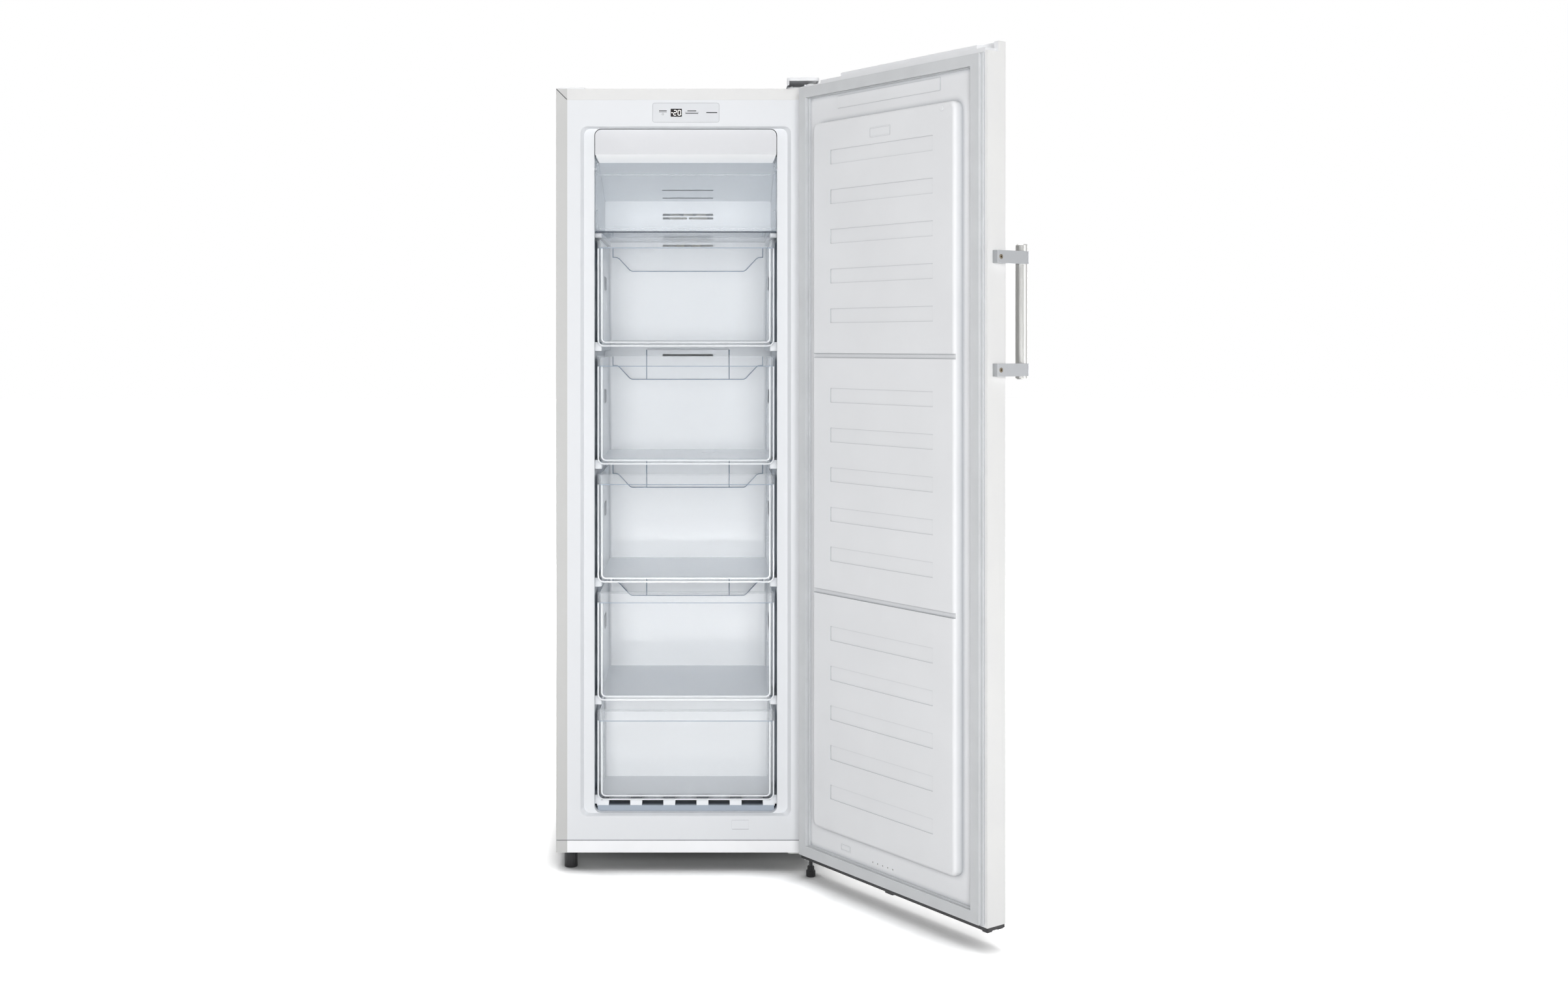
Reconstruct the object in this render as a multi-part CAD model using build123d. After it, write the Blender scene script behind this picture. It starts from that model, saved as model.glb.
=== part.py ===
from build123d import *
import math
import os

# Upright no-frost freezer with five clear drawers, drawn with its door standing open.
# Millimetres, +Z up. The origin is on the floor, under the middle of the cabinet body.
# The cabinet's front faces -Y and the door hangs on the +X side.

# --- Clearances -------------------------------------------------------------------------
TOUCH = 0.1  # a piece fitted beside another of the same body
RUNNING = 0.1  # radial play of a pin in its bore
AIR = 0.3  # between pieces that move past each other

# --- Cabinet body -----------------------------------------------------------------------
WIDTH = 554.0
BODY_DEPTH = 510.0
BODY_BOTTOM = 40.0
BODY_TOP = 1672.0
SHEET = 0.8  # folded steel of the cabinet and the door
FLANGE = 23.7  # steel frame seen round the front
BEND = 3.0
MITRE_GAP = 0.7
BACK_SHEET = 1.0
BEAD_ZS = (480.0, 980.0, 1480.0)  # pressed lines that stiffen the back
BEAD_INSET = 57.0  # from the cabinet's side
BEAD_H = 6.0
BEAD_DEEP = 0.4
TOE_TOP = 66.6
TOE_T = 2.5
SEAM = 0.3  # half of the line between the toe strip and the liner

# --- Inner liner ------------------------------------------------------------------------
LINER_T = 2.0
SIDE_WALL = 81.0  # from the cabinet's side to the opening
OPEN_LOW = 121.5
OPEN_DROP = 84.0  # opening's top below the cabinet's top
OPEN_R = 14.6
STEP_DEPTH = 12.0
STEP_SIDE = 22.0  # width of the recessed ring beside the opening
STEP_LIP = 7.0  # the step's wall leans by this much
STEP_ENDS = 3.5  # and by this much above and below
BEAD_R = 1.8
CAVITY_DEPTH = 440.0
HUMP_SETBACK = 190.0
HUMP_TOP = 345.0
HUMP_R = 25.0
HUMP_FOAM = 52.0
RAIL_OUT = 15.0
RAIL_H = 19.0
RAIL_R = 3.0
RAIL_SETBACK = 30.0
RIB_PITCH = 71.5
RIB_W = 25.5
RIB_COUNT = 6
RIB_H = 11.0
PLATFORM_H = 11.5
PLATFORM_GAP = 6.0
LABEL_INSET = (98.0, 60.0)  # raised border under the opening, from its side
LABEL_Z = (88.0, 109.0)

# --- Drawers ----------------------------------------------------------------------------
DRAWERS = 5
DRAWER_DROP = 11.0  # first front's top below the shelf
FRONT_SPACE = 19.8  # between one front and the next
DRAWER_SETBACK = 25.0  # from the cabinet's front plane to the clear front
LAST_FRONT_H = 194.0
LAST_RISE = 12.8  # last front above the platform
FRONT_GAP = 6.0  # beside a drawer's front
FRONT_T = 3.0
FRONT_R = 14.0
RIM_W = 3.0
RIM_H = 1.2
GRIP_OUT = 10.0
GRIP_H = 22.0
GRIP_T = 2.2
BODY_RISE = 10.0  # the tub's underside above the front's lower edge
TUB_TOP_DROP = 4.0
TUB_INSET = 2.5  # tub's side from the front's edge
TUB_DRAFT = 2.5
TUB_DEPTH = 330.0
LAST_TUB_DEPTH = 152.0
TUB_WALL = 2.0
TUB_R = 10.0
REAR_DROP = 21.0  # rear wall's top below the side walls
CUT_DEEP = 53.5
CUT_INSET_TOP = 23.5  # from the tub's side
CUT_INSET_LOW = 53.5
CUT_R = 12.0
SLOT_W = 5.0
SLOT_H = 28.0
SLOT_DROP = 95.0
SLOT_PITCH = 70.0
SLOT_SETBACK = 20.0
FLOOR_RIB_H = 0.9
FLOOR_RIB_W = 1.6
FLOOR_RIB_PITCH = 14.0

# --- Top compartment --------------------------------------------------------------------
SHELF_DROP = 164.0  # shelf below the ceiling
SHELF_T = 3.0
SHELF_RAIL_H = 10.0
FLAP_RISE = 4.5  # flap's lower edge above the shelf's underside
FLAP_DROP = 1.5  # flap's top below the lip
FLAP_GAP = 3.0
FLAP_SETBACK = 17.0
FLAP_T = 2.5
FLAP_R = 6.0
FLAP_RIM = 5.0
FLAP_LINE_DROP = 26.0  # below the flap's top
FLAP_PIVOT_DROP = 13.0
FLAP_PIN_R = 3.0
LUG_T = 3.0
LUG_DEEP = 11.0
LUG_LOW_H = 44.0
LUG_HIGH_H = 24.0
HEADER_GAP = 1.4
HEADER_H = 53.1
HEADER_DEEP = 30.0
CORNER_DROP = 20.0  # lower corners that are cut away
HEADER_SETBACK = 13.5
HEADER_T = 2.5
LIP_DROP = 17.0
LIP_BACK = 20.0
LIP_END = 8.0
COVER_SETBACK = 372.0  # rear duct cover behind the drawers
COVER_T = 2.5
CEILING_DROP = 3.5  # ceiling below the header's foot
COVER_SLOPE_START = 150.0
KNEE_DROP = 67.0
DUCT_BEND = 4.0
DUCT_HALF = 96.0
DUCT_OUT = 9.0
DUCT_DROP = 348.0  # below the ceiling's knee
VENT_HALF = 59.5
VENT_H = 5.0
WALL_VENTS = (32.0, 84.0, 105.0, 363.0)  # below the knee
SPLIT_VENT = 40.4
SPLIT_BAR = 4.0
CEILING_VENTS = (66.0, 20.0)  # ahead of the rear wall
CEILING_VENT_H = 2.2

# --- Controls ---------------------------------------------------------------------------
BEZEL_X = (-70.0, 71.0)
BEZEL_DROP = (71.4, 31.0)  # below the cabinet's top
BEZEL_R = 4.0
BEZEL_RAISE = 0.8
BEZEL_EDGE = 4.0
WINDOW_X = (-32.0, -8.0)
WINDOW_DROP = (60.0, 43.0)
BOARD_T = 1.6
BOARD_GAP = 5.0
BOARD_DEEP = 12.0

# --- Door -------------------------------------------------------------------------------
DOOR_ANGLE = 125.5  # how far it stands open
DOOR_GAP = 12.0
DOOR_T = 49.0
DOOR_LOW = 47.0
DOOR_DROP = 2.0  # door's top below the cabinet's
DOOR_LIP_H = 20.0
DOOR_LIP_T = 20.0
DOOR_LIP_START = 100.0
LEDGE_START = 68.0  # the cap is lower under the hinge
LEDGE_H = 6.0
DOOR_BEND = 3.0
DOOR_HEM = 6.0
DOOR_LINER_T = 2.0
DOOR_LINER_DROP = 2.0
CAP_INSERT = 13.0
CAP_FOOT = 7.0
STOP_LUGS = (((264, 286), (2, 10), 3), ((3, 16), (3, 16), 3), ((3, 18), (30, 44), 2))  # from the free edge
SCOOP_R = 34.0
SCOOP_IN = 34.0  # from the free edge
SCOOP_V = 4.0
PLUG_INSET = 65.0  # from the door's side
PLUG_LOW = 126.0
PLUG_DROP = 4.0  # below the opening's top
PLUG_H = 20.0
PLUG_CORNER = 14.0
PLUG_ROUND = 8.0
GROOVES = (1103.0, 617.0)
GROOVE_W = 10.0
GROOVE_DEEP = 4.0
STRIP_INSET = 60.0  # from the plug's side
STRIP_H = 29.5
STRIP_DROP = 60.0  # below the plug's top
STRIP_PITCH = 81.2
STRIP_SECTION = 487.5
STRIP_DEEP = 1.2
SECTIONS = 3
STRIPS = 5
BAR_DROP = (59.0, 35.0)  # below the door's top
BAR_RAISE = 1.2
GASKET_EDGE = 9.0
GASKET_LOW = 50.0
GASKET_DROP = 3.0
GASKET_BASE = 26.0
GASKET_LAYERS = ((0.0, 3.0, 0.0), (3.0, 5.0, 5.0), (5.0, 6.2, 3.6), (6.2, 8.2, 5.0), (8.2, 11.7, 2.0))
EMBLEM = (61.0, 19.0, 37.0)  # width, height, drop below the plug's top
PLATE = (29.0, 12.0, 128.0, 96.0)
FRAME_LINE = 1.4
FRAME_RAISE = 0.6
BUMP_INSET = 36.0  # from the plug's free side
BUMP_DROP = 12.0  # below the plug's top
BUMP_R = 5.0
HOLE_R = 1.5
HOLE_PITCH = 15.0
HOLE_Z = 89.0

# --- Hinges -----------------------------------------------------------------------------
PIVOT_IN = 11.5  # pivot from the cabinet's side
PIVOT_OUT = 32.0  # pivot in front of the cabinet's front plane
HINGE_T = 3.5
HINGE_INSET = 59.5  # inner edge of the hinge plates
HINGE_REAR = 62.0
HINGE_EYE = 13.0
HINGE_ARM = 27.0
TOP_PIN_R = 5.0
TOP_PIN_L = 22.0
LOW_PIN_R = 6.0
LOW_PIN_TOP = 62.0
BRACKET_T = 3.0
BRACKET_DROP = 2.5
BUSH_WALL = 3.0
SCREW_R = 3.0
SCREW_HEAD_R = 5.6
SCREW_HEAD_H = 3.6
SCREW_L = 18.0
SCREW_IN = 10.0  # screws from the edges of the hinge plates
COVER_INSIDE = 63.0  # either way from the cabinet's side
COVER_OUTSIDE = 6.0
COVER_H = 17.0
COVER_BEND = 9.0
COVER_WALL = 1.8
COVER_REAR = 78.0
COVER_FRONT = 49.0
COVER_WINDOW_H = 9.5
BLANK_INSET = (5.0, 62.0)
BLANK_H = 2.6
BLANK_DEEP = 40.0

# --- Handle -----------------------------------------------------------------------------
ARM_T = 13.5
ARM_H = 24.0
ARM_START = 13.4
ARM_ZS = (1288.5, 1078.5)
BAR_R = 11.8
BAR_IN = 1.0  # bar's axis from the free edge
BAR_V = 91.0
BAR_ENDS = (1060.5, 1314.0)
BAR_CHAMFER = 2.0
ARM_WRAP = 2.7
WRAP_ANGLE = 62.0
HANDLE_SCREW_R = 4.6
HANDLE_SCREW_IN = 9.0
SOCKET_R = 2.2
SHANK_R = 2.5
SHANK_L = 16.0

# --- Feet and rollers -------------------------------------------------------------------
FOOT_INSET = 29.0
FOOT_IN = 38.0
FOOT_R = 14.0
FOOT_H = 37.5
STUD_R = 4.0
STUD_TOP = 62.0
NUT_WALL = 3.0
KNOB_R = 9.8
KNOB_H = 13.0
COLLAR_R = 7.4
COLLAR_H = 8.5
RIGHT_STUD_TOP = 44.0
FLUTES = 20
FLUTE_R = 1.1
ROLLER_R = 16.0
ROLLER_W = 20.0
ROLLER_INSET = 39.5
ROLLER_IN = 30.0  # axle ahead of the cabinet's back
AXLE_R = 3.0
EAR_T = 1.5
EAR_GAP = 1.0
EAR_HALF = 13.0

# --- Machine compartment ----------------------------------------------------------------
TRAY_T = 1.5
TRAY_FLANGE = 15.0
COMP_X = -70.0
COMP_IN = 125.0  # compressor's axis ahead of the cabinet's back
COMP_R = 75.0
COMP_LOW = 58.0
COMP_H = 165.0
COMP_ROUND = 45.0
SEAM_OUT = 2.0
COMP_PLATE = (176.0, 132.0, 4.0)
BOLT_HALF = (72.0, 50.0)
BOLT_R = 4.0
GROMMET_R = 11.0
PIPE_R = 3.0
PIPE_BEND = 22.0
DRIER_R = 9.0
DRIER_INSET = 77.0  # from the cabinet's side
DRIER_IN = 195.0  # ahead of the cabinet's back
DRIER_Z = (130.0, 210.0)
DRIER_RUN = 45.0
DRIER_LOOP_Z = 85.0
DISCHARGE_RUN = 75.0
SUCTION_RUN = 115.0
TUB_TRAY = (150.0, 130.0, 38.0)
HOSE_R = 8.0
HOSE_BORE = 6.0
HOSE_X = -55.0
HOSE_LOW = 250.0
RELAY = (26.0, 60.0, 52.0)
RELAY_RISE = 55.0
GLAND_INSET = 62.0
GLAND_Z = 78.0
GLAND_R = 10.0
COVER_SLOT = (38.0, 5.0)

# --- Cooling parts behind the duct cover ------------------------------------------------
EVAP_GAP = 31.0  # beside the evaporator
EVAP_DROP = (313.0, 128.0)  # below the knee
EVAP_SPAN = (10.0, 60.0)  # behind the duct cover's face
TUBE_SPREAD = 12.5
FIN_T = 0.8
FINS = 20
EVAP_ROWS = 5
EVAP_TUBE_R = 4.0
HEATER_R = 3.0
HEATER_BEND = 15.0
HEATER_INSET = 20.0
FAN_DROP = 61.0  # below the knee
FAN_R = 52.0
FAN_SPAN = (13.0, 31.0)  # behind the duct cover's face
FAN_HUB_R = 15.0
BLADES = 7
BLADE_T = 1.6
BLADE_PITCH = 32.0
SHAFT_R = 2.0
MOTOR_R = 30.0
COIL_R = 2.5
COIL_RUNS = 5
COIL_PITCH = 76.0
COIL_LOW = 340.0
COIL_DROP = 72.0  # below the cabinet's top

# --- Places worked out from the sizes above ----------------------------------------------
HALF = WIDTH / 2
FRONT = -BODY_DEPTH / 2
BACK = BODY_DEPTH / 2
OPEN_HALF = HALF - SIDE_WALL
OPEN_HIGH = BODY_TOP - OPEN_DROP
LINER_HALF = HALF - FLANGE - TOUCH
LINER_TOP = BODY_TOP - FLANGE - TOUCH
CAVITY_BACK = FRONT + CAVITY_DEPTH
FOAM_BACK = BACK - BACK_SHEET
HUMP_FRONT = FRONT + HUMP_SETBACK
RISER = HUMP_FRONT + HUMP_FOAM
ROOM_TOP = HUMP_TOP - HUMP_FOAM - LINER_T
PLATFORM_TOP = OPEN_LOW + PLATFORM_H
PLATFORM_HALF = OPEN_HALF - PLATFORM_GAP
HEADER_HALF = OPEN_HALF - HEADER_GAP
HEADER_TOP = OPEN_HIGH - HEADER_GAP
HEADER_FOOT = HEADER_TOP - HEADER_H
LIP_LOW = HEADER_FOOT - LIP_DROP
COVER_CEILING = HEADER_FOOT - CEILING_DROP
COVER_KNEE = COVER_CEILING - KNEE_DROP
DUCT_TOP = COVER_KNEE - DUCT_DROP
FAN_Z = COVER_KNEE - FAN_DROP
EVAP_Z = (COVER_KNEE - EVAP_DROP[0], COVER_KNEE - EVAP_DROP[1])
SHELF_Z = COVER_CEILING - SHELF_DROP
COVER_FACE = FRONT + COVER_SETBACK
EVAP_HALF = OPEN_HALF - EVAP_GAP
EVAP_Y = (COVER_FACE + EVAP_SPAN[0], COVER_FACE + EVAP_SPAN[1])
FAN_Y = (COVER_FACE + FAN_SPAN[0], COVER_FACE + FAN_SPAN[1])
BEZEL_Z = (BODY_TOP - BEZEL_DROP[0], BODY_TOP - BEZEL_DROP[1])
WINDOW_Z = (BODY_TOP - WINDOW_DROP[0], BODY_TOP - WINDOW_DROP[1])
DOOR_BACK = FRONT - DOOR_GAP  # inner face of the closed door
DOOR_HIGH = BODY_TOP - DOOR_DROP
DOOR_LIP = DOOR_HIGH + DOOR_LIP_H
PLUG_HALF = HALF - PLUG_INSET
PLUG_HIGH = OPEN_HIGH - PLUG_DROP
STRIP_HALF = PLUG_HALF - STRIP_INSET
BAR_U = WIDTH - BAR_IN
PIVOT_X = HALF - PIVOT_IN
PIVOT_Y = FRONT - PIVOT_OUT
HINGE_INNER = HALF - HINGE_INSET
HINGE_COVER_X = (HALF - COVER_INSIDE, HALF + COVER_OUTSIDE)
FOOT_X = FOOT_INSET - HALF
ROLLER_X = HALF - ROLLER_INSET
GLAND_X = GLAND_INSET - HALF
FLAP_HALF = OPEN_HALF - FLAP_GAP
FLAP_LOW = SHELF_Z + FLAP_RISE
FLAP_HIGH = LIP_LOW - FLAP_DROP
FLAP_FACE = FRONT + FLAP_SETBACK
FLAP_PIVOT_Z = FLAP_HIGH - FLAP_PIVOT_DROP
FLAP_PIVOT_Y = FLAP_FACE + FLAP_T + LUG_DEEP / 2 - 1.5
COMP_Y = BACK - COMP_IN
DRIER_X = HALF - DRIER_INSET
DRIER_Y = BACK - DRIER_IN
ROLLER_Y = BACK - ROLLER_IN
DRAWER_FACE = FRONT + DRAWER_SETBACK
DRAWER_TOP = SHELF_Z - DRAWER_DROP
LAST_TOP = PLATFORM_TOP + LAST_RISE + LAST_FRONT_H
DRAWER_PITCH = (DRAWER_TOP - LAST_TOP) / (DRAWERS - 1)
FRONT_H = DRAWER_PITCH - FRONT_SPACE
FRONT_HALF = OPEN_HALF - FRONT_GAP
TUB_HALF = FRONT_HALF - TUB_INSET


def block(x, y, z):
    """Box between two limits along each axis."""
    spans = (x, y, z)
    size = [high - low for low, high in spans]
    middle = [(high + low) / 2 for low, high in spans]
    return Pos(*middle) * Box(*size)


def both(half):
    """The two limits of a span centred on zero."""
    return (-half, half)


def post(radius, x, y, z):
    """Upright cylinder between two heights."""
    return Pos(x, y, sum(z) / 2) * Cylinder(radius, z[1] - z[0])


def rod_x(radius, x, y, z):
    """Cylinder along X."""
    return Pos(sum(x) / 2, y, z) * Rot(0, 90, 0) * Cylinder(radius, x[1] - x[0])


def rod_y(radius, x, y, z):
    """Cylinder along Y."""
    return Pos(x, sum(y) / 2, z) * Rot(90, 0, 0) * Cylinder(radius, y[1] - y[0])


def outline(x, z, radius, y):
    """Rounded rectangle standing at depth y."""
    face = RectangleRounded(x[1] - x[0], z[1] - z[0], radius)
    return Pos(sum(x) / 2, y, sum(z) / 2) * Rot(90, 0, 0) * face


def panel(x, z, radius, y):
    """Rounded plate or block between two depths."""
    return extrude(outline(x, z, radius, y[0]), amount=y[1] - y[0], dir=(0, 1, 0))


def drafted(front, rear, y):
    """Rounded block whose outline changes evenly from the front to the rear."""
    return loft([outline(*front, y[0]), outline(*rear, y[1])], ruled=True)


def section_x(points, x):
    """Outline in the YZ plane carried along X."""
    wire = Polyline(*[(x[0], y, z) for y, z in points], close=True)
    return extrude(make_face(wire), amount=x[1] - x[0], dir=(1, 0, 0))


def frame_plate(x, z, width, y):
    """Raised rectangular line, such as a moulded border."""
    inner_x = (x[0] + width, x[1] - width)
    inner_z = (z[0] + width, z[1] - width)
    return block(x, y, z) - block(inner_x, (y[0] - 1, y[1] + 1), inner_z)


def mirrored(piece):
    """The same piece on the other side of the cabinet."""
    return mirror(piece, about=Plane.YZ)


def tube_along(points, bend, radius):
    """Bent tube along straight runs with even bends."""
    path = FilletPolyline(*points, radius=bend)
    start = Plane(origin=points[0], z_dir=path % 0)
    return sweep(start * Circle(radius), path=path)


def drawer_top(index):
    return DRAWER_TOP - DRAWER_PITCH * index


def front_height(index):
    return LAST_FRONT_H if index == DRAWERS - 1 else FRONT_H


def tub_low(index):
    return drawer_top(index) - front_height(index) + BODY_RISE


def tub_depth(index):
    return LAST_TUB_DEPTH if index == DRAWERS - 1 else TUB_DEPTH


# --- Cabinet ----------------------------------------------------------------------------
def outer_wrapper():
    """One steel sheet folded into both sides and the top, with a flange round the front."""
    shell = block(both(HALF), (FRONT, BACK), (BODY_BOTTOM, BODY_TOP))
    shell = fillet(shell.edges().filter_by(Axis.Y).group_by(Axis.Z)[-1], BEND)
    inside = block(both(HALF - SHEET), (FRONT + SHEET, BACK + 1), (BODY_BOTTOM - 1, BODY_TOP - SHEET))
    inside = fillet(inside.edges().filter_by(Axis.Y).group_by(Axis.Z)[-1], BEND - SHEET)
    window = block(both(HALF - FLANGE), (FRONT - 1, FRONT + 2 * SHEET), (BODY_BOTTOM - 1, BODY_TOP - FLANGE))
    middle = Pos(HALF - FLANGE / 2, FRONT, BODY_TOP - FLANGE / 2)
    mitre = middle * Rot(0, -45, 0) * Box(2 * FLANGE, 2 * SHEET, MITRE_GAP)
    holes = [post(SCREW_R + TOUCH, x, y, (BODY_TOP - BEND, BODY_TOP + 1)) for x, y in hinge_holes()]
    return shell - inside - window - [mitre, mirrored(mitre)] - holes


def back_panel():
    sheet = block(both(HALF - SHEET - TOUCH), (FOAM_BACK, BACK), (ROOM_TOP, BODY_TOP - SHEET - TOUCH))
    sheet = fillet(sheet.edges().filter_by(Axis.Y).group_by(Axis.Z)[-1], BEND)
    deep = (BACK - BEAD_DEEP, BACK + 1)
    beads = [block(both(HALF - BEAD_INSET), deep, (z - BEAD_H / 2, z + BEAD_H / 2)) for z in BEAD_ZS]
    return sheet - beads


def bottom_sheet(extra=0.0):
    """Floor, riser and roof of the bent sheet under the cabinet, thickened by extra."""
    x = both(HALF - SHEET - TOUCH + extra)
    floor = block(x, (FRONT + TOE_T, RISER), (BODY_BOTTOM, BODY_BOTTOM + BACK_SHEET + extra))
    riser = block(x, (RISER - BACK_SHEET - extra, RISER), (BODY_BOTTOM, ROOM_TOP))
    roof = block(x, (RISER - BACK_SHEET, FOAM_BACK), (ROOM_TOP - BACK_SHEET, ROOM_TOP + extra))
    return floor + riser + roof


def bottom_panel():
    """Bent sheet that closes the foam below, with the pressed-in nut of the left foot."""
    nut_top = STUD_TOP + 1
    nut = post(STUD_R + RUNNING + NUT_WALL, FOOT_X, FRONT + FOOT_IN, (BODY_BOTTOM + BACK_SHEET, nut_top))
    bore = post(STUD_R + RUNNING, FOOT_X, FRONT + FOOT_IN, (BODY_BOTTOM - 1, nut_top + 1))
    drain = post(HOSE_R + TOUCH, HOSE_X, hose_y(), (ROOM_TOP - 5, ROOM_TOP + 5))
    holes = [post(SCREW_R + TOUCH, x, y, (BODY_BOTTOM - 1, BODY_BOTTOM + 5)) for x, y in hinge_holes()]
    return bottom_sheet() + nut - [bore, drain] - holes


def toe_strip():
    z = (BODY_BOTTOM, TOE_TOP - SEAM)
    front = block(both(LINER_HALF), (FRONT, FRONT + TOE_T), z)
    return chamfer(front.edges().filter_by(Axis.X).group_by(Axis.Y)[0], 0.5)


def step_outline(extra, depth):
    """Outline of the step in the liner's front, at the front plane or at the ring."""
    lean = STEP_LIP if depth == 0 else 0.0
    ends = STEP_ENDS if depth == 0 else 0.0
    half = OPEN_HALF + STEP_SIDE + lean + extra
    return both(half), (OPEN_LOW - ends - extra, OPEN_HIGH + ends + extra), OPEN_R + extra


def step_hollow(extra=0.0):
    front = step_outline(extra, 0)
    ring = step_outline(extra, STEP_DEPTH)
    taper = drafted(front, ring, (FRONT, FRONT + STEP_DEPTH))
    if extra == 0:
        return taper
    return taper + panel(*ring, (FRONT + STEP_DEPTH, FRONT + STEP_DEPTH + extra))


def cavity(extra=0.0):
    """The cold room with the hump of the machine compartment, grown by extra."""
    z = (OPEN_LOW - extra, OPEN_HIGH + extra)
    room = panel(both(OPEN_HALF + extra), z, OPEN_R + extra, (FRONT + STEP_DEPTH - 1, CAVITY_BACK + extra))
    hump_z = (OPEN_LOW - 40, HUMP_TOP - extra)
    hump = block(both(OPEN_HALF + 40), (HUMP_FRONT + extra, CAVITY_BACK + 40), hump_z)
    top_front = hump.edges().filter_by(Axis.X).group_by(Axis.Y)[0].group_by(Axis.Z)[-1]
    return room - fillet(top_front, HUMP_R - extra)


def liner_envelope():
    """Everything the liner's outer skin encloses: the foam stops at this surface."""
    z = (TOE_TOP + SEAM, LINER_TOP)
    frame = block(both(LINER_HALF), (FRONT, FRONT + LINER_T), z)
    return frame + step_hollow(LINER_T) + cavity(LINER_T)


def side_rail(top, height, depth):
    """Moulded rail on the right wall, its front end rounded."""
    x = (OPEN_HALF - RAIL_OUT, OPEN_HALF + LINER_T / 2)
    rail = block(x, (FRONT + RAIL_SETBACK, FRONT + RAIL_SETBACK + depth), (top - height, top))
    return fillet(rail.edges().group_by(Axis.Y)[0].filter_by(Axis.Z).group_by(Axis.X)[0], RAIL_R)


def liner_rails():
    right = [side_rail(SHELF_Z - AIR, SHELF_RAIL_H, TUB_DEPTH)]
    for index in range(DRAWERS):
        right.append(side_rail(tub_low(index) - AIR, RAIL_H, tub_depth(index) - 5))
    return right + [mirrored(rail) for rail in right]


def floor_ribs():
    """Raised platform at the floor's front, with ribs that leave dark recesses between."""
    y = (FRONT + RAIL_SETBACK, HUMP_FRONT + LINER_T / 2)
    platform = block(both(PLATFORM_HALF), y, (OPEN_LOW - LINER_T / 2, PLATFORM_TOP))
    ribs = []
    for index in range(RIB_COUNT):
        x = RIB_PITCH * (index - (RIB_COUNT - 1) / 2)
        ribs.append(block((x - RIB_W / 2, x + RIB_W / 2), y, (PLATFORM_TOP - 1, PLATFORM_TOP + RIB_H)))
    return [platform & cavity(LINER_T / 2)] + ribs


def inner_liner():
    """Vacuum-formed white lining with the drawer rails and the floor ribs."""
    liner = liner_envelope() - step_hollow() - cavity()
    rim = liner.edges().filter_by_position(Axis.Y, FRONT - 0.01, FRONT + 0.01)
    half = OPEN_HALF + STEP_SIDE + STEP_LIP
    low, high = OPEN_LOW - STEP_ENDS - 1, OPEN_HIGH + STEP_ENDS + 1
    rim = rim.filter_by(lambda e: abs(e.center().X) < half + 1 and low < e.center().Z < high)
    liner = fillet(rim, BEAD_R)
    liner = liner + liner_rails() + floor_ribs()
    bezel_hole = block(
        (BEZEL_X[0] + BEZEL_EDGE, BEZEL_X[1] - BEZEL_EDGE),
        (FRONT - 1, FRONT + LINER_T + 1),
        (BEZEL_Z[0] + BEZEL_EDGE, BEZEL_Z[1] - BEZEL_EDGE),
    )
    flap_bores = rod_x(FLAP_PIN_R + RUNNING, both(HALF - FLANGE), FLAP_PIVOT_Y, FLAP_PIVOT_Z)
    drain = post(HOSE_R + TOUCH, HOSE_X, hose_y(), (HUMP_TOP - 10, HUMP_TOP + 5))
    label_x = (OPEN_HALF - LABEL_INSET[0], OPEN_HALF - LABEL_INSET[1])
    plate = frame_plate(label_x, LABEL_Z, FRAME_LINE, (FRONT - FRAME_RAISE, FRONT))
    return liner - bezel_hole - flap_bores - drain + plate


def hose_y():
    return (COVER_FACE + COVER_T + CAVITY_BACK) / 2


def coil(extra=0.0):
    """Condenser tube behind the right wall: upright runs joined by half turns."""
    x = HALF - SHEET - COIL_R - AIR
    low, high = COIL_LOW, BODY_TOP - COIL_DROP
    start = -COIL_PITCH * (COIL_RUNS - 1) / 2
    pieces = []
    for run in range(COIL_RUNS):
        y = start + COIL_PITCH * run
        pieces.append(post(COIL_R + extra, x, y, (low, high)))
        if run < COIL_RUNS - 1:
            z = high if run % 2 == 0 else low
            turn = Pos(x, y + COIL_PITCH / 2, z) * Rot(0, 90, 0) * Torus(COIL_PITCH / 2, COIL_R + extra)
            side = (z, z + COIL_PITCH) if run % 2 == 0 else (z - COIL_PITCH, z)
            keep = block((x - 20, x + 20), (y - 20, y + COIL_PITCH + 20), side)
            pieces.append(turn & keep)
    return pieces[0] + pieces[1:]


def condenser_coil():
    return Compound(children=[coil(), mirrored(coil())])


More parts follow.
